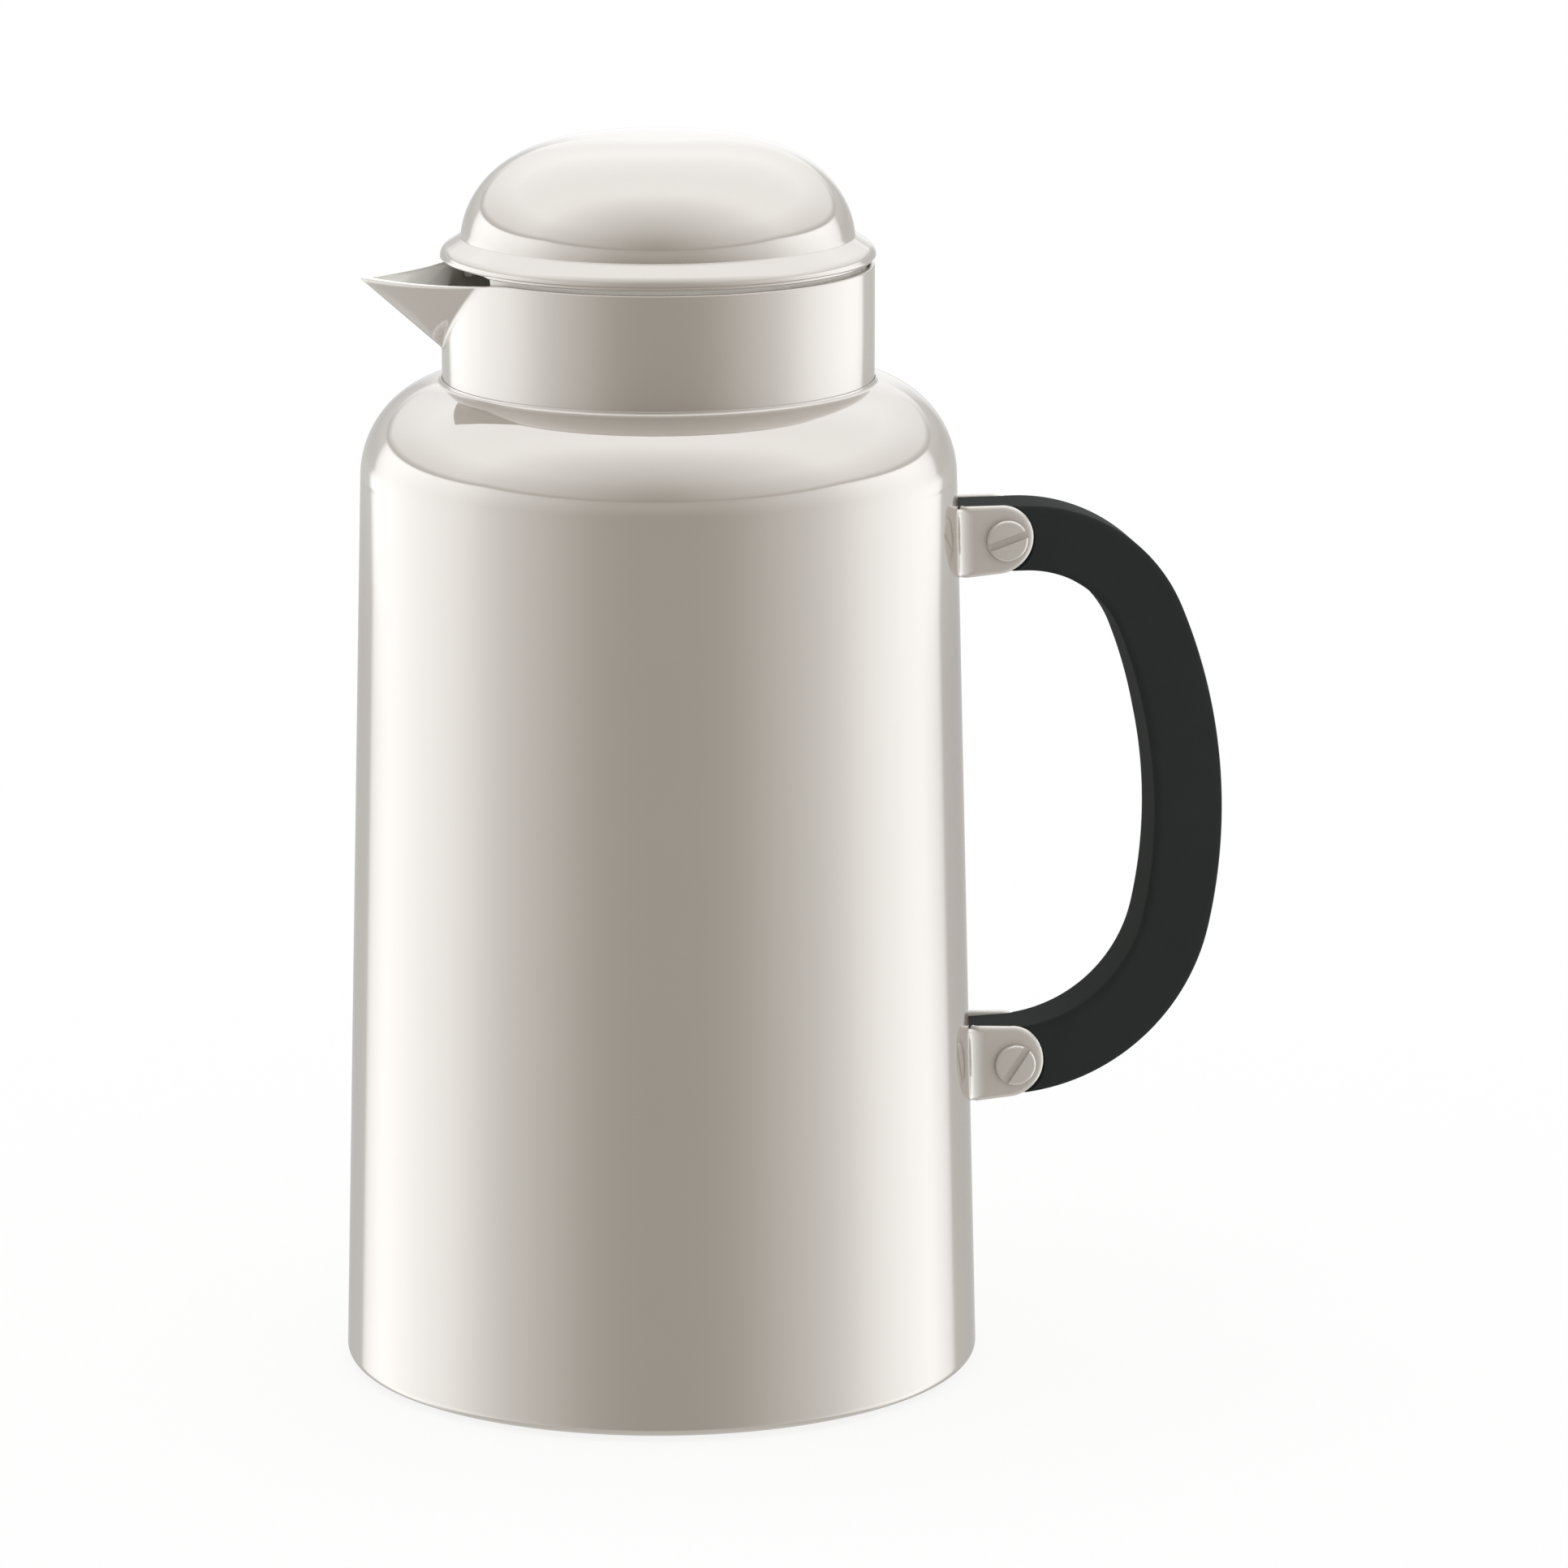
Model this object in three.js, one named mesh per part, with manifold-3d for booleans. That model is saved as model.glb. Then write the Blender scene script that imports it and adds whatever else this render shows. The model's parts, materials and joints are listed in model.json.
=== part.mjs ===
// An insulated jug: a painted steel body round a double-walled glass flask, with a folded spout,
// a clamped D-shaped handle and a domed lid that turns on its stopper to open and close the pour window.
// Millimetres, +Z up. The jug stands on Z = 0 with its axis on Z, the handle at +X and the spout at -X.

import * as THREE from 'three';
import { ConvexGeometry } from 'three/addons/geometries/ConvexGeometry.js';
import { mergeVertices } from 'three/addons/utils/BufferGeometryUtils.js';
import Module from 'manifold-3d';

const wasm = await Module();
wasm.setup();

// Fits shared by every pair of pieces
const FIT = 0.3;
const CUT_OVERSHOOT = 2;

// Facets
const FINE_SIDES = 40;
const PLAIN_SIDES = 24;
const SMALL_SIDES = 12;
const CURVE_STEPS = 7;
const HIDDEN_STEPS = 4;
const CORNER_STEPS = 2;
const MERGE_DISTANCE = 1e-4;

// Whole jug
const JUG_HEIGHT = 261.2;

// Outer shell
const SHELL_BASE_RADIUS = 67;
const SHELL_TAPER = 4.8;
const SHELL_WALL = 1;
const SHELL_LIFT = 1;
const BASE_CORNER = 2;
const BASE_LIP = 7;
const SHOULDER_RISE = 20.3;
const SHOULDER_OVERRUN = 2.6;

// Spout collar
const COLLAR_RADIUS = 45;
const COLLAR_WALL = 1;
const COLLAR_HEIGHT = 24.5;
const COLLAR_FLANGE = 4;
const COLLAR_SEAL_THICKNESS = 1.2;
const SPOUT_REACH = 16.4;
const SPOUT_DEPTH = 16;
const SPOUT_TIP_DROP = 1.7;
const SPOUT_HALF_ANGLE = THREE.MathUtils.degToRad(29);

// Pour ring
const POUR_RING_WALL = 1.8;
const POUR_RING_FLANGE = 4.7;
const POUR_DISH_FALL = 6;
const POUR_DISH_BELOW_SPOUT = 1;
const POUR_BOSS_HEIGHT = 3.6;
const MOUTH_GASKET_THICKNESS = 2;

// Glass flask
const FLASK_CLEARANCE = 7.2;
const FLASK_GLASS = 1.8;
const FLASK_VACUUM = 3.2;
const FLASK_MOUTH_RADIUS = 26.5;
const FLASK_NECK_GAP = 2;
const FLASK_NECK_HEIGHT = 12;
const FLASK_LIP_THICKNESS = 1.7;
const FLASK_SHOULDER_RISE = 26;
const FLASK_BOTTOM_DEPTH = 24;
const FLASK_TIP_LENGTH = 5;
const FLASK_TIP_RADIUS = 3;
const SPACER_COUNT = 3;
const SPACER_HEIGHT = 12;
const SPACER_WIDTH = 11;
const SPACER_LEVEL = 80;

// Base
const BASE_PAD_MARGIN = 7.5;
const BASE_PAD_THICKNESS = 2.2;
const BASE_FLANGE = 2.5;
const BASE_RING_HEIGHT = 10;
const BASE_CAP_FLOOR = 2.5;
const BASE_CAP_SKIRT_WALL = 3;
const BASE_CAP_SKIRT_HEIGHT = 9;
const BASE_KEY_HOLE_RADIUS = 1.8;
const BASE_KEY_HOLE_DEPTH = 2.5;
const CUSHION_INSET = 12;
const CUSHION_HOLE_RADIUS = 6;
const CUSHION_THICKNESS = 8;

// Handle and brackets
const GRIP_WIDTH = 13.8;
const GRIP_THICKNESS = 15.5;
const GRIP_EDGE = 1.6;
const GRIP_STANDOFF = 45.9;
const GRIP_SAG = 3.85;
const GRIP_RADIUS = 108.4;
const UPPER_BEND_RADIUS = 29.8;
const LOWER_BEND_RADIUS = 37.8;
const UPPER_ARM_DROP = 14.9;
const HANDLE_SPAN = 113.5;
const BRACKET_PLATE = 1.4;
const BRACKET_HEIGHT = 14.6;
const BRACKET_REACH = 16.3;
const BRACKET_BEND = 2;
const SCREW_REACH = 10.4;
const SCREW_HEAD_RADIUS = 4.35;
const SCREW_HEAD_HEIGHT = 1.3;
const SCREW_SHANK_RADIUS = 2;
const SCREW_ENGAGEMENT = 7;
const SLOT_WIDTH = 1.6;
const SLOT_DEPTH = 0.7;
const UPPER_SLOT_ANGLE = THREE.MathUtils.degToRad(19);
const LOWER_SLOT_ANGLE = THREE.MathUtils.degToRad(56);
const NUT_WALL = 0.9;
const NUT_END = 1.2;
const RIVET_RADIUS = 1.4;
const RIVET_HEAD_RADIUS = 2.4;
const RIVET_HEAD_HEIGHT = 1;
const RIVET_SPACING = 6;

// Lid
const LID_GAP = 0.8;
const LID_OVERHANG = 0.2;
const LID_WALL = 1;
const LID_BAND_HEIGHT = 2.2;
const LID_BAND_INSET = 0.6;
const LID_BEAD_WIDTH = 3.3;
const LID_BEAD_RISE = 2.7;
const LID_NOTCH_HEIGHT = 1.1;
const DOME_INSET = 3.8;
const DOME_HEIGHT = 22.4;
const DOME_BASE_RISE = 1.2;
const DOME_RADIAL_POWER = 3.15;
const DOME_VERTICAL_POWER = 1.94;
const INSERT_PLATE = 1.9;
const INSERT_SKIRT_DEPTH = 6;
const INSERT_SKIRT_WALL = 1.8;
const INSERT_HUB_RADIUS = 9;

// Stopper and valve
const STOPPER_CLEARANCE = 2;
const STOPPER_WALL = 1.6;
const STOPPER_PLATE = 2;
const STOPPER_DROP = 5.6;
const STOPPER_SEAT_WIDTH = 4.5;
const STOPPER_SEAT_HEIGHT = 1.5;
const STOPPER_BELOW_MOUTH = 16;
const SEAL_RIB = 1.1;
const SEAL_RIB_HEIGHT = 1;
const SEAL_HEIGHT = 5;
const SEAL_BAND = 0.9;
const SEAL_BELOW_MOUTH = 4.5;
const WINDOW_WIDTH = 26;
const WINDOW_MARGIN = 0.8;
const SLEEVE_WALL = 1.5;
const SLEEVE_PLATE = 2;
const SLEEVE_RECESS = 1;
const STEM_RADIUS = 4;
const STEM_RING_THICKNESS = 1.5;
const STEM_RING_WIDTH = 2;
const VALVE_SCREW_RADIUS = 1.7;
const VALVE_SCREW_LENGTH = 8;
const VALVE_SCREW_HEAD_RADIUS = 3.6;
const VALVE_SCREW_HEAD_HEIGHT = 2;
const TURN_LIMIT = Math.PI / 2;
const STOP_LUG_HALF_ANGLE = THREE.MathUtils.degToRad(6);
const STOP_SLACK = THREE.MathUtils.degToRad(1.5);
const STOP_LUG_INNER = 11;
const STOP_LUG_OUTER = 15.5;
const STOP_LUG_HEIGHT = 2.4;
const STOP_SECTOR_OUTER = 17;

// Finishes
const paint = new THREE.MeshStandardMaterial({ color: 0xdedad3, roughness: 0.12, metalness: 0.35 });
const blackPlastic = new THREE.MeshStandardMaterial({ color: 0x282b2a, roughness: 0.5, metalness: 0 });
const palePlastic = new THREE.MeshStandardMaterial({ color: 0xe6e2d9, roughness: 0.45, metalness: 0 });
const rubber = new THREE.MeshStandardMaterial({ color: 0x3a3a39, roughness: 0.85, metalness: 0 });
const silicone = new THREE.MeshStandardMaterial({ color: 0xc9c6c0, roughness: 0.6, metalness: 0 });
const glass = new THREE.MeshStandardMaterial({ color: 0xd5dadb, roughness: 0.08, metalness: 0.6 });
const steel = new THREE.MeshStandardMaterial({ color: 0xa9a8a5, roughness: 0.3, metalness: 1 });
const foam = new THREE.MeshStandardMaterial({ color: 0xe9e5d8, roughness: 0.95, metalness: 0 });

const jug = new THREE.Group();

/** Adds one named piece to a group. */
function addPiece(group, name, geometry, material) {
  const mesh = new THREE.Mesh(geometry, material);
  mesh.name = name;
  group.add(mesh);
}

/** Turns a closed geometry into a solid that can be cut and joined. */
function solid(geometry) {
  const bare = new THREE.BufferGeometry();
  bare.setAttribute('position', geometry.getAttribute('position'));
  bare.setIndex(geometry.index);
  const merged = mergeVertices(bare, MERGE_DISTANCE);
  const corners = merged.index.array;
  const kept = [];
  for (let i = 0; i < corners.length; i += 3) {
    const [a, b, c] = corners.slice(i, i + 3);
    if (a !== b && b !== c && c !== a) kept.push(a, b, c);
  }
  const vertProperties = new Float32Array(merged.getAttribute('position').array);
  const triVerts = new Uint32Array(kept);
  return new wasm.Manifold(new wasm.Mesh({ numProp: 3, vertProperties, triVerts }));
}

/** Turns a solid back into a geometry. */
function geometryOf(body) {
  const { vertProperties, triVerts } = body.getMesh();
  const geometry = new THREE.BufferGeometry();
  geometry.setAttribute('position', new THREE.BufferAttribute(new Float32Array(vertProperties), 3));
  geometry.setIndex(new THREE.BufferAttribute(new Uint32Array(triVerts), 1));
  geometry.computeVertexNormals();
  return geometry;
}

/** Cuts a list of geometries out of a geometry. */
function cut(geometry, tools) {
  const body = tools.reduce((rest, tool) => rest.subtract(solid(tool)), solid(geometry));
  return geometryOf(body);
}

/** Joins a list of geometries into one. */
function join(geometries) {
  return geometryOf(geometries.map(solid).reduce((whole, next) => whole.add(next)));
}

/** Turns a closed outline of [radius, height] points round Z, with its faces outwards. */
function turned(outline, sides) {
  const onAxis = outline[0][0] === 0 && outline.at(-1)[0] === 0;
  const points = outline.map(([r, z]) => new THREE.Vector2(r, z));
  if (THREE.ShapeUtils.area(points) < 0) points.reverse();
  if (!onAxis) points.push(points[0].clone());
  return new THREE.LatheGeometry(points, sides).rotateX(Math.PI / 2);
}

/** A plain cylinder on Z between two heights. */
function rod(radius, low, high, sides) {
  return turned([[0, low], [radius, low], [radius, high], [0, high]], sides);
}

/** A box from its lowest to its highest corner. */
function block(low, high) {
  const size = high.map((value, i) => value - low[i]);
  const middle = high.map((value, i) => (value + low[i]) / 2);
  return new THREE.BoxGeometry(...size).translate(...middle);
}

/** Points on an elliptical arc in the radius-height plane. */
function arc(centreR, centreZ, radiusR, radiusZ, from, to, steps) {
  return Array.from({ length: steps + 1 }, (_, i) => {
    const t = from + ((to - from) * i) / steps;
    return [centreR + radiusR * Math.cos(t), centreZ + radiusZ * Math.sin(t)];
  });
}

/** An upright slice of a ring round Z between two radii, two angles and two heights. */
function ringSector(inner, outer, from, to, low, high) {
  const shape = new THREE.Shape();
  shape.absarc(0, 0, outer, from, to, false);
  shape.absarc(0, 0, inner, to, from, true);
  const settings = { depth: high - low, bevelEnabled: false, curveSegments: HIDDEN_STEPS };
  return new THREE.ExtrudeGeometry(shape, settings).translate(0, 0, low);
}

/** An outline drawn in X and Z, given a thickness between two Y planes. */
function sideExtrusion(shape, fromY, toY) {
  const settings = { depth: toY - fromY, bevelEnabled: false, curveSegments: CURVE_STEPS };
  return new THREE.ExtrudeGeometry(shape, settings).rotateX(Math.PI / 2).translate(0, toY, 0);
}

// Heights and radii that follow from the sizes above
const wallBottom = SHELL_LIFT + BASE_CORNER;
const shellFloorTop = SHELL_LIFT + SHELL_WALL;
const shellTopRadius = SHELL_BASE_RADIUS - SHELL_TAPER;
const lipRadius = SHELL_BASE_RADIUS - BASE_LIP;
const neckRadius = COLLAR_RADIUS + FIT;
const shoulderCentre = neckRadius - SHOULDER_OVERRUN;
const shoulderRun = shellTopRadius - shoulderCentre;
const shoulderTopAngle = Math.acos(SHOULDER_OVERRUN / shoulderRun);
const lidHeight = LID_GAP + LID_BAND_HEIGHT + DOME_BASE_RISE + DOME_HEIGHT;
const shoulderTop = JUG_HEIGHT - lidHeight - COLLAR_HEIGHT;
const shoulderStart = shoulderTop - SHOULDER_RISE * Math.sin(shoulderTopAngle);

/** Outer radius of the tapering wall at a height. */
function shellRadius(z) {
  const share = (z - wallBottom) / (shoulderStart - wallBottom);
  return SHELL_BASE_RADIUS + (shellTopRadius - SHELL_BASE_RADIUS) * share;
}

/** Angle on the shoulder's curve, inset by a wall, at a radius. */
function shoulderAngle(radius, inset) {
  return Math.acos((radius - shoulderCentre) / (shoulderRun - inset));
}

/** Height of the shoulder's curve, inset by a wall, at a radius. */
function shoulderHeight(radius, inset) {
  return shoulderStart + (SHOULDER_RISE - inset) * Math.sin(shoulderAngle(radius, inset));
}

const collarRim = shoulderTop + COLLAR_HEIGHT;
const collarBore = COLLAR_RADIUS - COLLAR_WALL;
const collarFlangeRadius = COLLAR_RADIUS + COLLAR_FLANGE;
const collarSealTop = shoulderHeight(collarFlangeRadius, SHELL_WALL) - FIT;
const collarSealBottom = collarSealTop - COLLAR_SEAL_THICKNESS;
const collarFlangeTop = collarSealBottom - FIT;
const collarFlangeBottom = collarFlangeTop - COLLAR_WALL;
const spoutRoot = collarRim - SPOUT_DEPTH;

const pourRingRadius = collarBore - FIT;
const pourRingTop = spoutRoot - POUR_DISH_BELOW_SPOUT;
const pourFlangeTop = collarFlangeBottom - FIT;
const pourThroatTop = pourRingTop - POUR_DISH_FALL;
const pourBossBottom = pourThroatTop - POUR_BOSS_HEIGHT;
const dishRim = pourRingRadius - POUR_RING_WALL;

/** Height of the pour ring's sloping dish at a radius. */
function dishHeight(radius) {
  const share = (radius - FLASK_MOUTH_RADIUS) / (dishRim - FLASK_MOUTH_RADIUS);
  return pourThroatTop + POUR_DISH_FALL * share;
}

const gasketTop = pourBossBottom - FIT;
const flaskTop = gasketTop - MOUTH_GASKET_THICKNESS - FIT;
const flaskLipBottom = flaskTop - FLASK_LIP_THICKNESS;
const flaskNeckBottom = flaskTop - FLASK_NECK_HEIGHT;
const flaskShoulderStart = flaskNeckBottom - FLASK_SHOULDER_RISE;
const innerNeckOuter = FLASK_MOUTH_RADIUS + FLASK_GLASS;
const outerNeckInner = innerNeckOuter + FLASK_NECK_GAP;
const outerNeckOuter = outerNeckInner + FLASK_GLASS;
const flaskRadius = shellTopRadius - SHELL_WALL - FLASK_CLEARANCE;
const innerWallRadius = flaskRadius - FLASK_GLASS - FLASK_VACUUM;

const capFloorBottom = BASE_PAD_THICKNESS + FIT;
const capFloorTop = capFloorBottom + BASE_CAP_FLOOR;
const baseRingBottom = shellFloorTop + FIT;
const baseRingTop = baseRingBottom + BASE_RING_HEIGHT;
const baseOpening = lipRadius - BASE_FLANGE;
const padRadius = baseOpening - BASE_PAD_MARGIN;
const capRadius = baseOpening - FIT;
const cushionRadius = flaskRadius - CUSHION_INSET;
const flaskBottom = capFloorTop + CUSHION_THICKNESS;
const flaskBottomCentre = flaskBottom + FLASK_BOTTOM_DEPTH;

const lidRadius = COLLAR_RADIUS + LID_OVERHANG;
const domeRadius = lidRadius - DOME_INSET;
const lidBottom = collarRim + LID_GAP;
const beadEdge = lidBottom + LID_BAND_HEIGHT;
const domeBase = beadEdge + DOME_BASE_RISE;
const bandInner = lidRadius - LID_BAND_INSET - LID_WALL;
const insertTop = beadEdge - FIT;
const insertBottom = insertTop - INSERT_PLATE;
const skirtRadius = collarBore - 2 * FIT;
const stopperRadius = FLASK_MOUTH_RADIUS - STOPPER_CLEARANCE;
const seatRadius = FLASK_MOUTH_RADIUS + STOPPER_SEAT_WIDTH;
const stopperTop = collarRim - STOPPER_DROP;
const stopperPlateBottom = stopperTop - STOPPER_PLATE;
const stopperBottom = flaskTop - STOPPER_BELOW_MOUTH;
const seatTop = dishHeight(seatRadius) + FIT + STOPPER_SEAT_HEIGHT;
const windowBottom = seatTop + WINDOW_MARGIN;
const windowTop = stopperPlateBottom - FIT - SLEEVE_PLATE - WINDOW_MARGIN;
const sleeveRadius = stopperRadius - STOPPER_WALL - FIT;
const sleeveTop = stopperPlateBottom - FIT;
const hubBottom = stopperTop + 2 * FIT + STEM_RING_THICKNESS;
const sealTop = flaskTop - SEAL_BELOW_MOUTH;
const sealBottom = sealTop - SEAL_HEIGHT;

const upperArmLevel = shoulderStart - UPPER_ARM_DROP;
const lowerArmLevel = upperArmLevel - HANDLE_SPAN;
const gripReach = SHELL_BASE_RADIUS + GRIP_STANDOFF;
const gripMiddle = (upperArmLevel + lowerArmLevel) / 2 - GRIP_SAG;
const tangHalf = GRIP_THICKNESS / 2 - BRACKET_PLATE - FIT;
const nutRadius = SCREW_SHANK_RADIUS + FIT + NUT_WALL;

/** The outer shell: a tapering wall, a round shoulder, a turned-in foot and holes for the rivets. */
function outerShell() {
  const wallSide = [
    [lipRadius, SHELL_LIFT],
    ...arc(SHELL_BASE_RADIUS - BASE_CORNER, wallBottom, BASE_CORNER, BASE_CORNER,
      -Math.PI / 2, 0, CORNER_STEPS),
    ...arc(shoulderCentre, shoulderStart, shoulderRun, SHOULDER_RISE,
      0, shoulderTopAngle, CURVE_STEPS),
  ];
  const innerCorner = Math.max(BASE_CORNER - SHELL_WALL, SHELL_WALL / 2);
  const innerAngle = shoulderAngle(neckRadius, SHELL_WALL);
  const innerSide = [
    ...arc(shoulderCentre, shoulderStart, shoulderRun - SHELL_WALL, SHOULDER_RISE - SHELL_WALL,
      innerAngle, 0, CURVE_STEPS),
    ...arc(SHELL_BASE_RADIUS - SHELL_WALL - innerCorner, shellFloorTop + innerCorner,
      innerCorner, innerCorner, 0, -Math.PI / 2, CORNER_STEPS),
    [lipRadius, shellFloorTop],
  ];
  const wall = turned([...wallSide, ...innerSide], FINE_SIDES);
  const holes = [upperArmLevel, lowerArmLevel].flatMap((level) => rivetLevels(level).map((z) => {
    const reach = shellRadius(z);
    const low = reach - SHELL_WALL - CUT_OVERSHOOT;
    return alongX(rod(RIVET_RADIUS + FIT, low, reach + CUT_OVERSHOOT, SMALL_SIDES), z);
  }));
  return cut(wall, holes);
}

/** Lays a piece made on Z along X instead, at a height. */
function alongX(geometry, z) {
  return geometry.rotateY(Math.PI / 2).translate(0, 0, z);
}

/** The heights of a bracket's two rivets. */
function rivetLevels(level) {
  return [level + RIVET_SPACING / 2, level - RIVET_SPACING / 2];
}

/** The wedge that the spout fills: a cone from its tip to the V on the collar, reaching inside it. */
function spoutWedge(inward, lift, open) {
  const tip = new THREE.Vector3(-COLLAR_RADIUS - SPOUT_REACH, 0, collarRim - SPOUT_TIP_DROP);
  const points = [tip];
  for (const side of [-1, 1]) {
    for (let i = 0; i <= HIDDEN_STEPS; i += 1) {
      const share = i / HIDDEN_STEPS;
      const angle = Math.PI + side * share * SPOUT_HALF_ANGLE;
      const z = spoutRoot + share * SPOUT_DEPTH;
      for (const radius of [COLLAR_RADIUS, COLLAR_RADIUS - inward]) {
        points.push(new THREE.Vector3(radius * Math.cos(angle), radius * Math.sin(angle), z));
      }
    }
  }
  const raised = points.map((point) => point.clone().setZ(point.z + SPOUT_DEPTH));
  const all = open ? [...points, ...raised] : points;
  return new ConvexGeometry(all).translate(0, 0, lift);
}

/** The rise of the spout's inner faces that leaves a wall of the collar's thickness square to them. */
function spoutWallRise() {
  const tip = new THREE.Vector3(-COLLAR_RADIUS - SPOUT_REACH, 0, collarRim - SPOUT_TIP_DROP);
  const root = new THREE.Vector3(-COLLAR_RADIUS, 0, spoutRoot);
  const corner = Math.PI - SPOUT_HALF_ANGLE;
  const rim = new THREE.Vector3(Math.cos(corner), Math.sin(corner), 0).multiplyScalar(COLLAR_RADIUS);
  rim.setZ(collarRim);
  const normal = rim.sub(tip).cross(root.sub(tip)).normalize();
  return COLLAR_WALL / Math.abs(normal.z);
}

/** The collar: an upright sheet ring with a flange under the shoulder and a folded V spout. */
function spoutCollar() {
  const outside = turned([
    [0, collarFlangeBottom],
    [collarFlangeRadius, collarFlangeBottom],
    [collarFlangeRadius, collarFlangeTop],
    [COLLAR_RADIUS, collarFlangeTop],
    [COLLAR_RADIUS, collarRim],
    [0, collarRim],
  ], FINE_SIDES);
  const bore = rod(collarBore, collarFlangeBottom - CUT_OVERSHOOT, collarRim + CUT_OVERSHOOT, FINE_SIDES);
  const inside = spoutWedge(COLLAR_WALL + CUT_OVERSHOOT, spoutWallRise(), true);
  return cut(join([outside, spoutWedge(COLLAR_WALL / 2, 0, false)]), [bore, inside]);
}

/** The soft ring between the collar's flange and the underside of the shoulder. */
function collarSeal() {
  return turned([
    [neckRadius, collarSealBottom],
    [collarFlangeRadius, collarSealBottom],
    [collarFlangeRadius, collarSealTop],
    [neckRadius, shoulderHeight(neckRadius, SHELL_WALL) - FIT],
  ], FINE_SIDES);
}

/** The pour ring: a dish that falls to the flask's mouth, a boss over the gasket and a flange below. */
function pourRing() {
  const bossRadius = outerNeckOuter;
  const flangeBottom = pourFlangeTop - POUR_RING_WALL;
  return turned([
    [pourRingRadius, pourFlangeTop],
    [pourRingRadius, pourRingTop],
    [dishRim, pourRingTop],
    [FLASK_MOUTH_RADIUS, pourThroatTop],
    [FLASK_MOUTH_RADIUS, pourBossBottom],
    [bossRadius, pourBossBottom],
    [bossRadius, dishHeight(bossRadius) - POUR_RING_WALL],
    [dishRim, pourRingTop - POUR_RING_WALL],
    [dishRim, flangeBottom],
    [pourRingRadius + POUR_RING_FLANGE, flangeBottom],
    [pourRingRadius + POUR_RING_FLANGE, pourFlangeTop],
  ], FINE_SIDES);
}

/** The gasket on the flask's lip. */
function mouthGasket() {
  const inner = FLASK_MOUTH_RADIUS + FIT;
  return turned([
    [inner, gasketTop - MOUTH_GASKET_THICKNESS],
    [outerNeckOuter, gasketTop - MOUTH_GASKET_THICKNESS],
    [outerNeckOuter, gasketTop],
    [inner, gasketTop],
  ], PLAIN_SIDES);
}

/** One face of a flask wall from its bottom on the axis to its neck, at a depth below the outside. */
function flaskFace(depth, neck) {
  const radius = flaskRadius - depth;
  const bottom = FLASK_BOTTOM_DEPTH - depth;
  const rise = FLASK_SHOULDER_RISE - depth;
  return [
    ...arc(0, flaskBottomCentre, radius, bottom, -Math.PI / 2, 0, HIDDEN_STEPS),
    ...arc(neck, flaskShoulderStart, radius - neck, rise, 0, Math.PI / 2, HIDDEN_STEPS),
  ];
}

/** The flask's outer wall, with the drawn-off tip under its bottom. */
function flaskOuterWall() {
  const face = flaskFace(0, outerNeckOuter).slice(1);
  const tip = [
    [0, flaskBottom - FLASK_TIP_LENGTH],
    [FLASK_TIP_RADIUS / 2, flaskBottom - FLASK_TIP_LENGTH],
    [FLASK_TIP_RADIUS, flaskBottom + FLASK_GLASS / 2],
  ];
  const inner = flaskFace(FLASK_GLASS, outerNeckInner).reverse();
  inner[inner.length - 1][0] = 0;
  const top = flaskLipBottom - FIT;
  return turned([...tip, ...face, [outerNeckOuter, top], [outerNeckInner, top], ...inner], PLAIN_SIDES);
}

/** The flask's inner wall, with the lip that closes over the outer wall. */
function flaskInnerWall() {
  const outer = flaskFace(FLASK_GLASS + FLASK_VACUUM, innerNeckOuter);
  const inner = flaskFace(2 * FLASK_GLASS + FLASK_VACUUM, FLASK_MOUTH_RADIUS).reverse();
  outer[0][0] = 0;
  inner[inner.length - 1][0] = 0;
  return turned([
    ...outer,
    [innerNeckOuter, flaskLipBottom],
    [outerNeckOuter, flaskLipBottom],
    [outerNeckOuter, flaskTop],
    [FLASK_MOUTH_RADIUS, flaskTop],
    ...inner,
  ], PLAIN_SIDES);
}

/** One pad between the two glass walls. */
function flaskSpacer() {
  const facet = Math.cos(Math.PI / PLAIN_SIDES);
  const inner = innerWallRadius + FIT;
  const outer = (flaskRadius - FLASK_GLASS) * facet - FIT;
  const half = SPACER_WIDTH / 2 / innerWallRadius;
  const low = SPACER_LEVEL - SPACER_HEIGHT / 2;
  return ringSector(inner, outer, -half, half, low, low + SPACER_HEIGHT);
}

/** The rubber seat that cradles the flask's round bottom. */
function flaskCushion() {
  const seat = Array.from({ length: HIDDEN_STEPS + 1 }, (_, i) => {
    const radius = cushionRadius + ((CUSHION_HOLE_RADIUS - cushionRadius) * i) / HIDDEN_STEPS;
    const fall = Math.sqrt(1 - (radius / (flaskRadius + FIT)) ** 2);
    return [radius, flaskBottomCentre - (FLASK_BOTTOM_DEPTH + FIT) * fall];
  });
  const low = capFloorTop + FIT;
  return turned([[CUSHION_HOLE_RADIUS, low], [cushionRadius, low], ...seat], PLAIN_SIDES);
}

/** The ring inside the shell's foot that the base cap screws into. */
function baseRing() {
  const outer = shellRadius(baseRingTop) - SHELL_WALL - FIT;
  return turned([
    [baseOpening, baseRingBottom],
    [outer - BASE_CORNER, baseRingBottom],
    [outer, baseRingBottom + BASE_CORNER],
    [outer, baseRingTop],
    [baseOpening, baseRingTop],
  ], FINE_SIDES);
}

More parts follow.
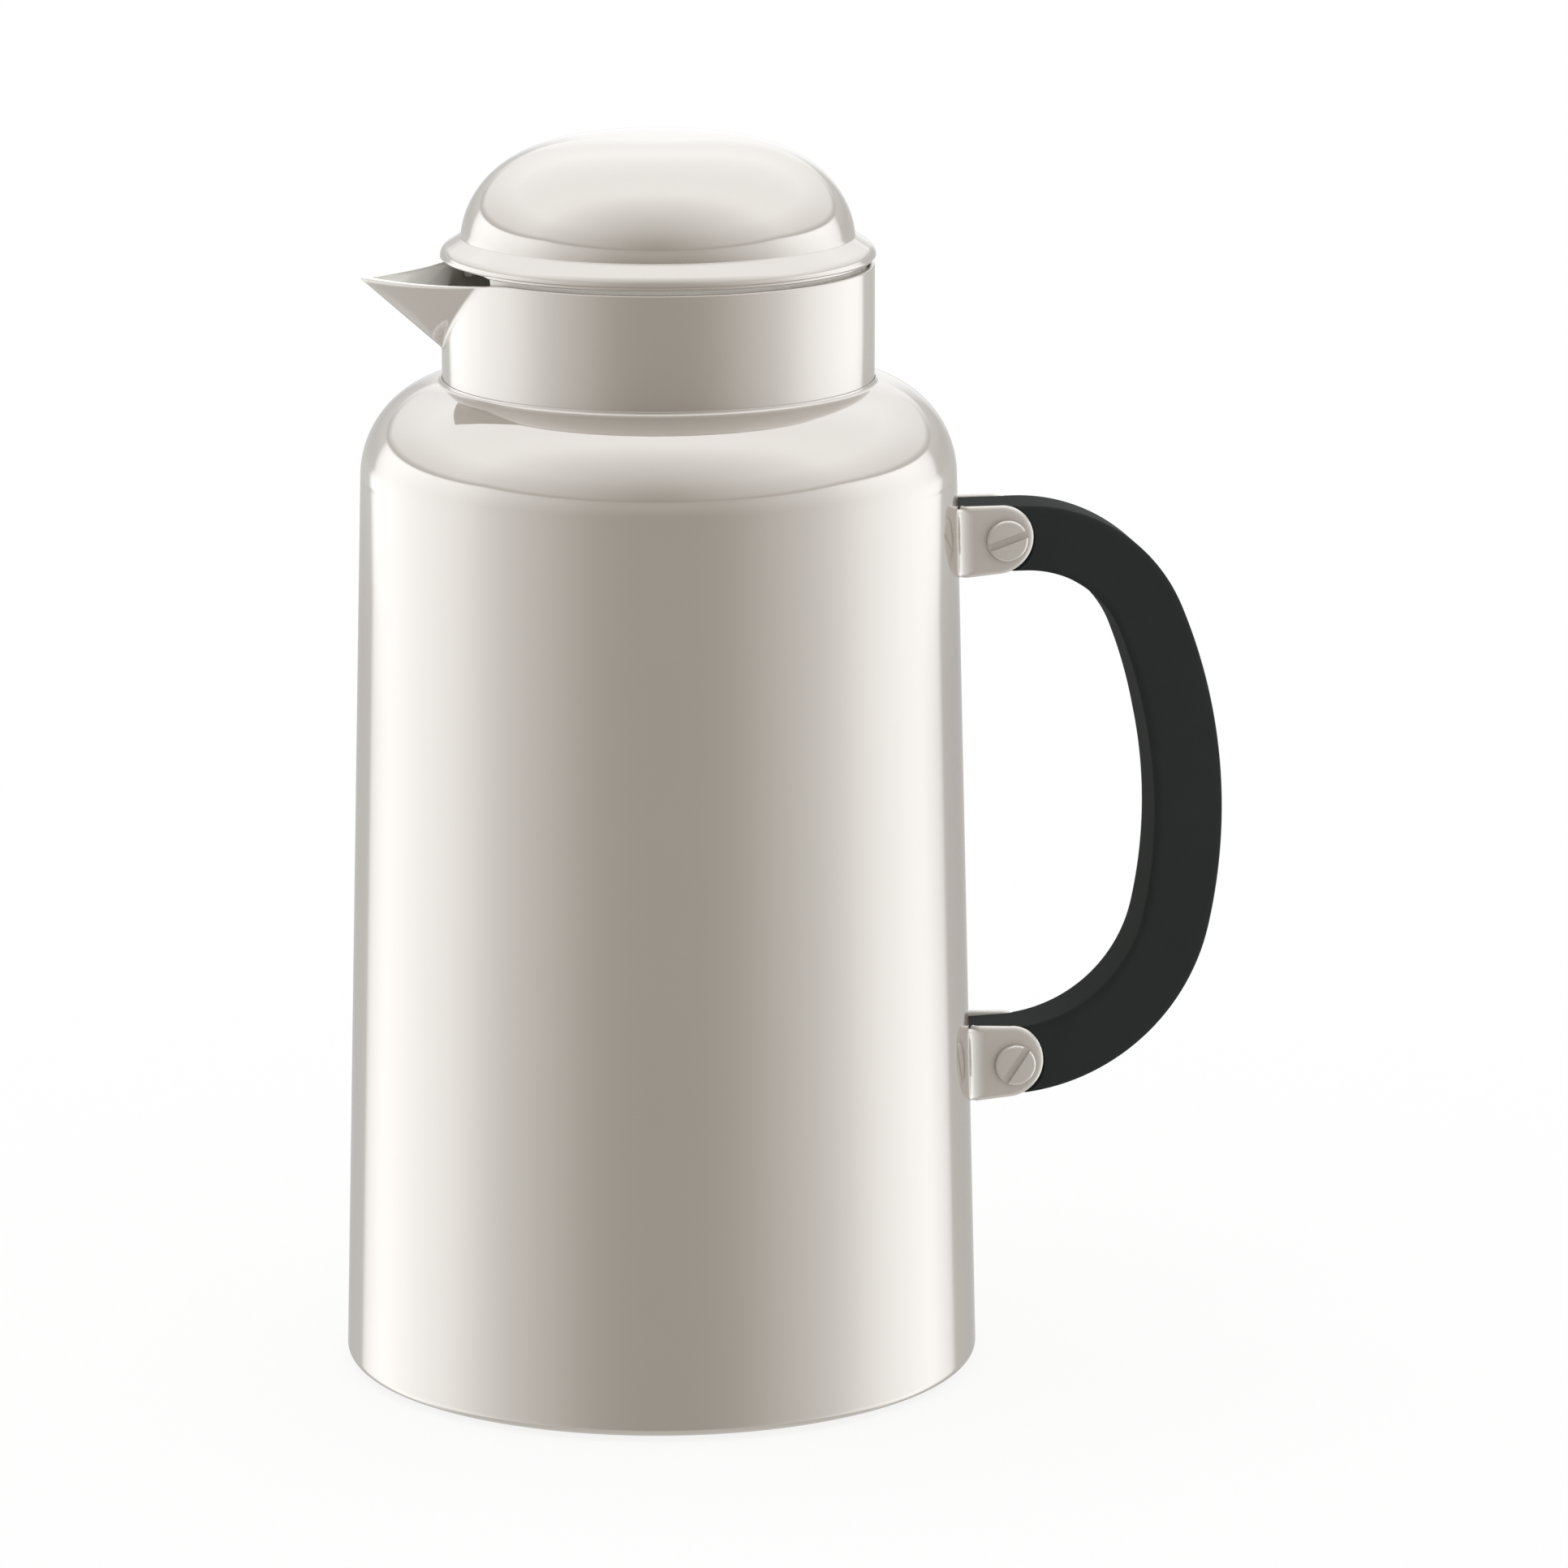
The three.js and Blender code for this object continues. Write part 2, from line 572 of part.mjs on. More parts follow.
/** The base cap: a floor with a threaded skirt, a flange, a recess for the pad and two key holes. */
function baseCap() {
  const recess = padRadius + FIT;
  const flange = lipRadius - FIT;
  const flangeTop = baseRingBottom - FIT;
  const skirtTop = capFloorTop + BASE_CAP_SKIRT_HEIGHT;
  const skirtInner = capRadius - BASE_CAP_SKIRT_WALL;
  const cap = turned([
    [0, capFloorBottom],
    [recess, capFloorBottom],
    [recess, SHELL_LIFT],
    [flange, SHELL_LIFT],
    [flange, flangeTop],
    [capRadius, flangeTop],
    [capRadius, skirtTop],
    [skirtInner, skirtTop],
    [skirtInner, capFloorTop],
    [0, capFloorTop],
  ], FINE_SIDES);
  const keyRadius = (recess + capRadius) / 2;
  const keyTop = SHELL_LIFT + BASE_KEY_HOLE_DEPTH;
  const keyHoles = [-1, 1].map((side) => rod(BASE_KEY_HOLE_RADIUS, -CUT_OVERSHOOT, keyTop, SMALL_SIDES)
    .translate(0, side * keyRadius, 0));
  return cut(cap, keyHoles);
}

/** The shell's outside with a working gap, for trimming what lies against it. */
function shellEnvelope(level) {
  const low = level - BRACKET_HEIGHT;
  const high = level + BRACKET_HEIGHT;
  return turned([
    [0, low],
    [shellRadius(low) + FIT, low],
    [shellRadius(high) + FIT, high],
    [0, high],
  ], FINE_SIDES);
}

/** The outer face of a bracket's web, where the handle's tang begins. */
function webFront(level) {
  return shellRadius(level) + FIT + BRACKET_PLATE;
}

/** The side outline of a bracket's ear from a start in X, grown by a margin: straight, with a round end. */
function earOutline(level, startX, margin) {
  const radius = BRACKET_HEIGHT / 2 + margin;
  const centre = shellRadius(level) + BRACKET_REACH - BRACKET_HEIGHT / 2;
  const shape = new THREE.Shape();
  shape.moveTo(startX, level - radius);
  shape.lineTo(centre, level - radius);
  shape.absarc(centre, level, radius, -Math.PI / 2, Math.PI / 2, false);
  shape.lineTo(startX, level + radius);
  shape.closePath();
  return shape;
}

/** A hole along Y at a bracket's screw. */
function screwHole(level, radius, fromY, toY) {
  const hole = rod(radius, fromY, toY, SMALL_SIDES).rotateX(-Math.PI / 2);
  return hole.translate(shellRadius(level) + SCREW_REACH, 0, level);
}

/** A bracket: a strap bent into a U, its web on the shell and its two ears on the handle's tang. */
function bracket(level) {
  const half = GRIP_THICKNESS / 2;
  const inner = half - BRACKET_PLATE;
  const innerBend = Math.max(BRACKET_BEND - BRACKET_PLATE, FIT);
  const back = Math.sqrt((shellRadius(level) + FIT) ** 2 - half ** 2);
  const front = webFront(level);
  const end = shellRadius(level) + BRACKET_REACH;
  const plan = new THREE.Shape();
  plan.moveTo(end, half);
  plan.lineTo(back + BRACKET_BEND, half);
  plan.absarc(back + BRACKET_BEND, half - BRACKET_BEND, BRACKET_BEND, Math.PI / 2, Math.PI, false);
  plan.lineTo(back, BRACKET_BEND - half);
  plan.absarc(back + BRACKET_BEND, BRACKET_BEND - half, BRACKET_BEND, Math.PI, Math.PI * 1.5, false);
  plan.lineTo(end, -half);
  plan.lineTo(end, -inner);
  plan.lineTo(front + innerBend, -inner);
  plan.absarc(front + innerBend, innerBend - inner, innerBend, Math.PI * 1.5, Math.PI, true);
  plan.lineTo(front, inner - innerBend);
  plan.absarc(front + innerBend, inner - innerBend, innerBend, Math.PI, Math.PI / 2, true);
  plan.lineTo(end, inner);
  plan.closePath();
  const settings = { depth: BRACKET_HEIGHT, bevelEnabled: false, curveSegments: CORNER_STEPS };
  const strap = new THREE.ExtrudeGeometry(plan, settings).translate(0, 0, level - BRACKET_HEIGHT / 2);
  const ear = earOutline(level, back - CUT_OVERSHOOT, 0);
  const sides = sideExtrusion(ear, -half - CUT_OVERSHOOT, half + CUT_OVERSHOOT);
  const rounded = geometryOf(solid(strap).intersect(solid(sides)));
  const rivetHoles = rivetLevels(level).map((z) => (
    alongX(rod(RIVET_RADIUS + FIT, back - CUT_OVERSHOOT, front + CUT_OVERSHOOT, SMALL_SIDES), z)
  ));
  return cut(rounded, [
    shellEnvelope(level),
    screwHole(level, SCREW_SHANK_RADIUS + FIT, -half - CUT_OVERSHOOT, 0),
    screwHole(level, nutRadius + FIT, 0, half + CUT_OVERSHOOT),
    ...rivetHoles,
  ]);
}

/** A rivet through a bracket's web and the shell, with a head on each side. */
function rivet(level, z) {
  const facet = Math.cos(Math.PI / FINE_SIDES);
  const inside = (shellRadius(z + RIVET_HEAD_RADIUS) - SHELL_WALL) * facet - FIT;
  const outside = webFront(level) + FIT;
  return alongX(turned([
    [0, inside - RIVET_HEAD_HEIGHT],
    [RIVET_HEAD_RADIUS, inside - RIVET_HEAD_HEIGHT],
    [RIVET_HEAD_RADIUS, inside],
    [RIVET_RADIUS, inside],
    [RIVET_RADIUS, outside],
    [RIVET_HEAD_RADIUS, outside],
    [RIVET_HEAD_RADIUS, outside + RIVET_HEAD_HEIGHT],
    [0, outside + RIVET_HEAD_HEIGHT],
  ], SMALL_SIDES), z);
}

/** The three tangent arcs of the handle's middle line: centre, radius, start angle and end angle. */
function gripArcs() {
  const grip = [gripReach - GRIP_RADIUS, gripMiddle];
  const bends = [
    { radius: UPPER_BEND_RADIUS, z: upperArmLevel - UPPER_BEND_RADIUS },
    { radius: LOWER_BEND_RADIUS, z: lowerArmLevel + LOWER_BEND_RADIUS },
  ];
  const [upper, lower] = bends.map(({ radius, z }) => {
    const distance = GRIP_RADIUS - radius;
    const angle = Math.asin((z - gripMiddle) / distance);
    return { x: grip[0] + distance * Math.cos(angle), z, radius, angle };
  });
  return [
    { x: upper.x, z: upper.z, radius: upper.radius, from: Math.PI / 2, to: upper.angle },
    { x: grip[0], z: grip[1], radius: GRIP_RADIUS, from: upper.angle, to: lower.angle },
    { x: lower.x, z: lower.z, radius: lower.radius, from: lower.angle, to: -Math.PI / 2 },
  ];
}

/** The handle: a D-shaped bar, thinned under the ears, bored for the screws and relieved for the rivets. */
function handle() {
  const half = GRIP_WIDTH / 2;
  const arcs = gripArcs();
  const levels = [upperArmLevel, lowerArmLevel];
  const [upperEnd, lowerEnd] = levels.map((level) => webFront(level) + FIT);
  const outline = new THREE.Shape();
  outline.moveTo(upperEnd, upperArmLevel + half);
  outline.lineTo(arcs[0].x, upperArmLevel + half);
  arcs.forEach(({ x, z, radius, from, to }) => outline.absarc(x, z, radius + half, from, to, true));
  outline.lineTo(lowerEnd, lowerArmLevel - half);
  outline.lineTo(lowerEnd, lowerArmLevel + half);
  [...arcs].reverse().forEach(({ x, z, radius, from, to }) => {
    outline.absarc(x, z, radius - half, to, from, false);
  });
  outline.lineTo(upperEnd, upperArmLevel - half);
  outline.closePath();
  const bar = new THREE.ExtrudeGeometry(outline, {
    depth: GRIP_THICKNESS - 2 * GRIP_EDGE,
    bevelEnabled: true,
    bevelThickness: GRIP_EDGE,
    bevelSize: GRIP_EDGE,
    bevelOffset: -GRIP_EDGE,
    bevelSegments: 1,
    curveSegments: CURVE_STEPS,
  }).rotateX(Math.PI / 2).translate(0, GRIP_THICKNESS / 2 - GRIP_EDGE, 0);
  const outside = GRIP_THICKNESS / 2 + CUT_OVERSHOOT;
  const pocketHalf = RIVET_HEAD_RADIUS + FIT;
  const cutters = levels.flatMap((level) => {
    const start = webFront(level) - CUT_OVERSHOOT;
    const ear = earOutline(level, start, FIT);
    const pocketEnd = webFront(level) + 2 * FIT + RIVET_HEAD_HEIGHT;
    const pocketTop = RIVET_SPACING / 2 + pocketHalf;
    return [
      sideExtrusion(ear, -outside, -tangHalf),
      sideExtrusion(ear, tangHalf, outside),
      screwHole(level, nutRadius + FIT, -outside, outside),
      block([start, -pocketHalf, level - pocketTop], [pocketEnd, pocketHalf, level + pocketTop]),
    ];
  });
  return cut(bar, cutters);
}

/** A slotted head made on Z, its underside at a height and its top above it. */
function slottedHead(underside, slotAngle) {
  const top = underside + SCREW_HEAD_HEIGHT;
  const slotHalf = SLOT_WIDTH / 2;
  const reach = SCREW_HEAD_RADIUS + CUT_OVERSHOOT;
  const slot = block([-reach, -slotHalf, top - SLOT_DEPTH], [reach, slotHalf, top + CUT_OVERSHOOT]);
  return { top, slot: slot.rotateZ(slotAngle) };
}

/** The screw's outline below and including its head, from its end on the axis. */
function handleScrew(level, slotAngle) {
  const underside = GRIP_THICKNESS / 2 + FIT;
  const { top, slot } = slottedHead(underside, slotAngle);
  const end = GRIP_THICKNESS / 2 - BRACKET_PLATE - 2 * tangHalf + SCREW_ENGAGEMENT - FIT;
  const body = turned([
    [0, -end],
    [SCREW_SHANK_RADIUS, -end],
    [SCREW_SHANK_RADIUS, underside],
    [SCREW_HEAD_RADIUS, underside],
    [SCREW_HEAD_RADIUS, top],
    [0, top],
  ], SMALL_SIDES);
  return cut(body, [slot]).rotateX(Math.PI / 2).translate(shellRadius(level) + SCREW_REACH, 0, level);
}

/** The sleeve nut on the far side: a slotted head with a blind barrel that takes the screw. */
function sleeveNut(level, slotAngle) {
  const underside = GRIP_THICKNESS / 2 + FIT;
  const { top, slot } = slottedHead(underside, slotAngle);
  const mouth = FIT - tangHalf + SCREW_ENGAGEMENT;
  const boreEnd = underside - NUT_END;
  const bore = SCREW_SHANK_RADIUS + FIT;
  const body = turned([
    [0, boreEnd],
    [bore, boreEnd],
    [bore, -mouth],
    [nutRadius, -mouth],
    [nutRadius, underside],
    [SCREW_HEAD_RADIUS, underside],
    [SCREW_HEAD_RADIUS, top],
    [0, top],
  ], SMALL_SIDES);
  return cut(body, [slot]).rotateX(-Math.PI / 2).translate(shellRadius(level) + SCREW_REACH, 0, level);
}

/** The dome's curve from its base to its top, at an inset below the outside, above a height. */
function domeCurve(inset, above, steps) {
  const radius = domeRadius - inset;
  const height = DOME_HEIGHT - inset;
  const start = Math.max(above - domeBase, 0) / height;
  const first = Math.asin(start ** (DOME_VERTICAL_POWER / 2));
  return Array.from({ length: steps + 1 }, (_, i) => {
    const t = first + ((Math.PI / 2 - first) * i) / steps;
    const r = i === steps ? 0 : radius * Math.cos(t) ** (2 / DOME_RADIAL_POWER);
    return [r, domeBase + height * Math.sin(t) ** (2 / DOME_VERTICAL_POWER)];
  });
}

/** The slice above the spout that the lid's band and insert are cut away in. */
function pourNotch(inner, low, high) {
  const from = Math.PI - SPOUT_HALF_ANGLE;
  return ringSector(inner, lidRadius + CUT_OVERSHOOT, from, from + 2 * SPOUT_HALF_ANGLE, low, high);
}

/** The lid's painted shell: a dome, a rounded bead and a band that is notched above the spout. */
function lidShell() {
  const beadTop = beadEdge + LID_BEAD_RISE;
  const bandRadius = lidRadius - LID_BAND_INSET;
  const outer = [
    [bandRadius, lidBottom],
    ...arc(lidRadius - LID_BEAD_WIDTH, beadEdge, LID_BEAD_WIDTH, LID_BEAD_RISE,
      0, Math.PI / 2, HIDDEN_STEPS),
    ...domeCurve(0, beadTop + FIT, CURVE_STEPS),
  ];
  const inner = domeCurve(LID_WALL, beadTop - LID_WALL, CURVE_STEPS).reverse();
  const shell = turned([...outer, ...inner, [bandInner, beadEdge], [bandInner, lidBottom]], FINE_SIDES);
  const notchTop = lidBottom + LID_NOTCH_HEIGHT;
  return cut(shell, [pourNotch(bandInner - CUT_OVERSHOOT, lidBottom - CUT_OVERSHOOT, notchTop)]);
}

/** The foam that fills the dome. */
function lidInsulation() {
  const low = insertTop + FIT;
  const curve = domeCurve(LID_WALL + FIT, domeBase, CURVE_STEPS);
  return turned([[0, low], [curve[0][0], low], ...curve], PLAIN_SIDES);
}

/** The lid's insert: a plate with a skirt in the collar, a hub, a stem and a stop sector. */
function lidInsert() {
  const skirtInner = skirtRadius - INSERT_SKIRT_WALL;
  const skirtBottom = insertBottom - INSERT_SKIRT_DEPTH;
  const plateRadius = bandInner - FIT;
  const stemEnd = sleeveTop + FIT;
  const bore = VALVE_SCREW_RADIUS + FIT;
  const boreEnd = stemEnd + VALVE_SCREW_LENGTH + FIT;
  const ledge = Math.min(plateRadius, skirtRadius);
  const body = turned([
    [0, boreEnd],
    [bore, boreEnd],
    [bore, stemEnd],
    [STEM_RADIUS, stemEnd],
    [STEM_RADIUS, hubBottom],
    [INSERT_HUB_RADIUS, hubBottom],
    [INSERT_HUB_RADIUS, insertBottom],
    [skirtInner, insertBottom],
    [skirtInner, skirtBottom],
    [ledge, skirtBottom],
    [ledge, insertTop],
    [0, insertTop],
  ], FINE_SIDES);
  const sectorHalf = Math.PI - TURN_LIMIT - STOP_LUG_HALF_ANGLE - STOP_SLACK;
  const sectorInner = INSERT_HUB_RADIUS - INSERT_SKIRT_WALL;
  const sectorTop = insertBottom + INSERT_PLATE / 2;
  const sector = ringSector(sectorInner, STOP_SECTOR_OUTER, Math.PI - sectorHalf, Math.PI + sectorHalf,
    stopperTop + FIT, sectorTop);
  const notch = pourNotch(skirtInner - FIT, skirtBottom - CUT_OVERSHOOT, lidBottom + LID_NOTCH_HEIGHT);
  return cut(join([body, sector]), [notch]);
}

/** The box that opens the pour window in a sleeve on the spout's side. */
function pourWindow() {
  const half = WINDOW_WIDTH / 2;
  const far = -stopperRadius - CUT_OVERSHOOT;
  const near = -Math.sqrt(Math.max((sleeveRadius - SLEEVE_WALL) ** 2 - half ** 2, FIT)) + CUT_OVERSHOOT;
  return block([far, -half, windowBottom], [near, half, windowTop]);
}

/** The stopper: a cup with its mouth down, a seat, ribs round the seal, a window and a stop lug. */
function stopper() {
  const bore = stopperRadius - STOPPER_WALL;
  const ribRadius = stopperRadius + SEAL_RIB;
  const upperRib = sealTop + FIT;
  const lowerRib = sealBottom - FIT;
  const seatLow = pourThroatTop + FIT;
  const stemHole = STEM_RADIUS + FIT;
  const body = turned([
    [bore, stopperBottom],
    [stopperRadius, stopperBottom],
    [stopperRadius, lowerRib - SEAL_RIB_HEIGHT],
    [ribRadius, lowerRib - SEAL_RIB_HEIGHT],
    [ribRadius, lowerRib],
    [stopperRadius, lowerRib],
    [stopperRadius, upperRib],
    [ribRadius, upperRib],
    [ribRadius, upperRib + SEAL_RIB_HEIGHT],
    [stopperRadius, upperRib + SEAL_RIB_HEIGHT],
    [stopperRadius, seatLow],
    [FLASK_MOUTH_RADIUS, seatLow],
    [seatRadius, dishHeight(seatRadius) + FIT],
    [seatRadius, seatTop],
    [stopperRadius, seatTop],
    [stopperRadius, stopperTop],
    [stemHole, stopperTop],
    [stemHole, stopperPlateBottom],
    [bore, stopperPlateBottom],
  ], PLAIN_SIDES);
  const lug = ringSector(STOP_LUG_INNER, STOP_LUG_OUTER, -STOP_LUG_HALF_ANGLE, STOP_LUG_HALF_ANGLE,
    stopperTop - STOPPER_PLATE / 2, stopperTop + STOP_LUG_HEIGHT);
  return cut(join([body, lug]), [pourWindow()]);
}

/** The seal round the stopper: a band with a lip that reaches the flask's neck. */
function stopperSeal() {
  const inner = stopperRadius + FIT;
  const middle = (sealTop + sealBottom) / 2;
  return turned([
    [inner, sealBottom],
    [inner + SEAL_BAND, sealBottom],
    [FLASK_MOUTH_RADIUS - FIT, middle],
    [inner + SEAL_BAND, sealTop],
    [inner, sealTop],
  ], PLAIN_SIDES);
}

/** The valve sleeve: a second cup inside the stopper, with its own window, carried by the stem. */
function valveSleeve() {
  const bore = sleeveRadius - SLEEVE_WALL;
  const plateBottom = sleeveTop - SLEEVE_PLATE;
  const low = stopperBottom + SLEEVE_RECESS;
  const hole = VALVE_SCREW_RADIUS + FIT;
  const body = turned([
    [bore, low],
    [sleeveRadius, low],
    [sleeveRadius, sleeveTop],
    [hole, sleeveTop],
    [hole, plateBottom],
    [bore, plateBottom],
  ], PLAIN_SIDES);
  return cut(body, [pourWindow()]);
}

/** The screw that holds the sleeve to the stem. */
function valveScrew() {
  const headTop = sleeveTop - SLEEVE_PLATE - FIT;
  return turned([
    [0, headTop - VALVE_SCREW_HEAD_HEIGHT],
    [VALVE_SCREW_HEAD_RADIUS, headTop - VALVE_SCREW_HEAD_HEIGHT],
    [VALVE_SCREW_HEAD_RADIUS, headTop],
    [VALVE_SCREW_RADIUS, headTop],
    [VALVE_SCREW_RADIUS, sleeveTop + VALVE_SCREW_LENGTH],
    [0, sleeveTop + VALVE_SCREW_LENGTH],
  ], SMALL_SIDES);
}

/** The ring that seals the stem on top of the stopper. */
function stemRing() {
  const inner = STEM_RADIUS + FIT;
  const low = stopperTop + FIT;
  return turned([
    [inner, low],
    [inner + STEM_RING_WIDTH, low],
    [inner + STEM_RING_WIDTH, low + STEM_RING_THICKNESS],
    [inner, low + STEM_RING_THICKNESS],
  ], PLAIN_SIDES);
}

// The body and its foot
addPiece(jug, 'outer_shell', outerShell(), paint);
addPiece(jug, 'base_ring', baseRing(), blackPlastic);
addPiece(jug, 'base_cap', baseCap(), blackPlastic);
addPiece(jug, 'base_pad', rod(padRadius, 0, BASE_PAD_THICKNESS, FINE_SIDES), rubber);

// The flask and what holds it
addPiece(jug, 'flask_outer_wall', flaskOuterWall(), glass);
addPiece(jug, 'flask_inner_wall', flaskInnerWall(), glass);
for (let i = 0; i < SPACER_COUNT; i += 1) {
  const turn = new THREE.Group();
  turn.rotation.z = (2 * Math.PI * i) / SPACER_COUNT;
  addPiece(turn, `flask_spacer_${i + 1}`, flaskSpacer(), silicone);
  jug.add(turn);
}
addPiece(jug, 'flask_cushion', flaskCushion(), rubber);
addPiece(jug, 'mouth_gasket', mouthGasket(), silicone);

// The neck
addPiece(jug, 'spout_collar', spoutCollar(), paint);
addPiece(jug, 'collar_seal', collarSeal(), silicone);
addPiece(jug, 'pour_ring', pourRing(), palePlastic);

// The handle and its clamps
addPiece(jug, 'handle', handle(), blackPlastic);
const clamps = [
  { place: 'upper', level: upperArmLevel, slotAngle: UPPER_SLOT_ANGLE },
  { place: 'lower', level: lowerArmLevel, slotAngle: LOWER_SLOT_ANGLE },
];
for (const { place, level, slotAngle } of clamps) {
  addPiece(jug, `${place}_bracket`, bracket(level), paint);
  addPiece(jug, `${place}_screw`, handleScrew(level, slotAngle), paint);
  addPiece(jug, `${place}_nut`, sleeveNut(level, slotAngle), paint);
  rivetLevels(level).forEach((z, i) => {
    addPiece(jug, `${place}_rivet_${i + 1}`, rivet(level, z), steel);
  });
}

// The stopper and the lid that turns on it
const closure = new THREE.Group();
addPiece(closure, 'stopper', stopper(), palePlastic);
addPiece(closure, 'stopper_seal', stopperSeal(), silicone);
addPiece(closure, 'stem_ring', stemRing(), silicone);
const lid = new THREE.Group();
addPiece(lid, 'lid_shell', lidShell(), paint);
addPiece(lid, 'lid_insulation', lidInsulation(), foam);
addPiece(lid, 'lid_insert', lidInsert(), palePlastic);
addPiece(lid, 'valve_sleeve', valveSleeve(), palePlastic);
addPiece(lid, 'valve_screw', valveScrew(), steel);
closure.add(lid);
jug.add(closure);

export default jug;
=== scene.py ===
"""Dresses the insulated jug: a gloss enamel body, a folded spout, a clamped black handle and a domed lid."""

import functools
import json
import logging
import math
from collections.abc import Iterator
from dataclasses import dataclass, field
from enum import Enum
from typing import Any

import bmesh
import bpy
import numpy as np
from mathutils import Matrix, Vector


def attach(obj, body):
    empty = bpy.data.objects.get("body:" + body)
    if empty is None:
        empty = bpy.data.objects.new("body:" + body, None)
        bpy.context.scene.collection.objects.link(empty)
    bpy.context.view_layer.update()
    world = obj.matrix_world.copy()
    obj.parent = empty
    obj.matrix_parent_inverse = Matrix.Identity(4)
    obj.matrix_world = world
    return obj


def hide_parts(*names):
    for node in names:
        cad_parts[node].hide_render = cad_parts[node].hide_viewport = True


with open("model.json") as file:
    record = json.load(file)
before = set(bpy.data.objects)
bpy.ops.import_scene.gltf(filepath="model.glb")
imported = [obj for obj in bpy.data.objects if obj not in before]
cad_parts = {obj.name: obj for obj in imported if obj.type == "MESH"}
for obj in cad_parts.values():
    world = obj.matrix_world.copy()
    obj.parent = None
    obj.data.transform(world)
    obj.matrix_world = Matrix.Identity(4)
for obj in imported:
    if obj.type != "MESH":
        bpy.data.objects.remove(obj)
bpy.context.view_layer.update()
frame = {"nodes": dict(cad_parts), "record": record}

LOG = logging.getLogger("insulated_jug")
Array = np.ndarray
Socket = bpy.types.NodeSocket

# In metres: a millimetre, the gap at which doubled points merge and the shortest edge that is kept
MM = 0.001
WELD = 2e-6
SLIVER = 1e-7


class Body(Enum):
    """The rigid bodies that pieces ride on."""

    JUG = "jug_body"
    STOPPER = "stopper_body"
    LID = "lid_body"


class Slot(Enum):
    """The finishes of the jug, by the name of their slot in the record."""

    PAINT = "body_paint"
    HANDLE = "handle_plastic"
    NECK = "neck_plastic"
    BASE = "base_plastic"
    RUBBER = "base_rubber"
    SILICONE = "seal_silicone"
    GLASS = "flask_glass"
    STEEL = "rivet_steel"
    FOAM = "lid_foam"


class Side(Enum):
    """The side of the jug that a screw head shows on, seen from the front."""

    NEAR = -1
    FAR = 1


# Curves


def arc(centre: tuple[float, float], radii: tuple[float, float], turn: tuple[float, float],
        steps: int) -> Array:
    """Points of an ellipse arc: the centre plus the radii times the cosine and sine of even angles.

    Args:
        centre: The middle of the ellipse.
        radii: Its half widths along the first and second axis.
        turn: The first and last angle in radians.
        steps: The number of equal steps.

    Returns:
        An array of steps + 1 points.
    """
    angles = np.linspace(*turn, steps + 1)
    return np.stack([centre[0] + radii[0] * np.cos(angles), centre[1] + radii[1] * np.sin(angles)], axis=-1)


def box(low: tuple[float, float], high: tuple[float, float]) -> Array:
    """Returns the four corners of a rectangle, from its lowest one to the right and round."""
    return np.array([low, (high[0], low[1]), high, (low[0], high[1])], float)


def rounded(corners: Array, radii: Array | float, steps: int = 5) -> Array:
    """A closed outline whose corners are replaced by tangent arcs.

    With u and v the unit directions from a corner to its neighbours, the arc runs from corner + t u to
    corner + t v, where t is the radius over the tangent of half the angle between them. The points between
    turn evenly about the arc's centre, on the line that halves the angle.

    Args:
        corners: The corners in order.
        radii: One radius for each corner, or one for all. A radius of zero keeps the corner.
        steps: The number of steps in each arc.

    Returns:
        The outline's points, without repeated ones.
    """
    corners = np.asarray(corners, float)
    radii = np.broadcast_to(np.asarray(radii, float), corners.shape[:1])
    before = np.roll(corners, 1, axis=0) - corners
    after = np.roll(corners, -1, axis=0) - corners
    reach = np.minimum(np.linalg.norm(before, axis=1), np.linalg.norm(after, axis=1))
    u = before / np.linalg.norm(before, axis=1, keepdims=True)
    v = after / np.linalg.norm(after, axis=1, keepdims=True)
    half = np.arccos(np.clip((u * v).sum(axis=1), -1, 1)) / 2
    tangent = np.minimum(radii / np.tan(half), 0.49 * reach)
    radius = tangent * np.tan(half)
    middle = u + v
    middle = middle / np.maximum(np.linalg.norm(middle, axis=1, keepdims=True), 1e-9)
    centre = corners + middle * (radius / np.sin(half))[:, None]
    start = corners + u * tangent[:, None] - centre
    end = corners + v * tangent[:, None] - centre
    sweep = np.pi - 2 * half
    share = np.linspace(0, 1, steps + 1)[None, :]
    bend = np.maximum(sweep, 1e-6)[:, None]
    points = (np.sin((1 - share) * bend)[..., None] * start[:, None]
              + np.sin(share * bend)[..., None] * end[:, None]) / np.sin(bend)[..., None]
    outline = (centre[:, None] + points).reshape(-1, 2)
    apart = np.linalg.norm(outline - np.roll(outline, 1, axis=0), axis=1) > 1e-5
    return outline[apart]


def supported(outline: Array, margin: float = 0.3) -> Array:
    """Adds a point just inside both ends of each long step, so that smooth shading stays flat between them.

    Args:
        outline: The points of a closed outline.
        margin: The distance of the added points from the ends.

    Returns:
        The outline with the added points.
    """
    ahead = np.roll(outline, -1, axis=0)
    length = np.linalg.norm(ahead - outline, axis=1)
    share = np.where(length > 4 * margin, margin / np.maximum(length, 1e-9), np.nan)
    shares = np.stack([np.zeros(len(outline)), share, 1 - share], axis=1)
    points = outline[:, None] + (ahead - outline)[:, None] * shares[..., None]
    return points.reshape(-1, 2)[~np.isnan(shares).reshape(-1)]


def section(*corners: tuple[float, float, float], steps: int = 5, margin: float = 0.3) -> Array:
    """A closed outline with rounded corners and supported sides.

    Args:
        corners: The radius, the height and the rounding of each corner.
        steps: The number of steps in each corner.
        margin: The distance of the added points from the ends of a side.

    Returns:
        The outline's points.
    """
    table = np.array(corners, float)
    return supported(rounded(table[:, :2], table[:, 2], steps), margin)


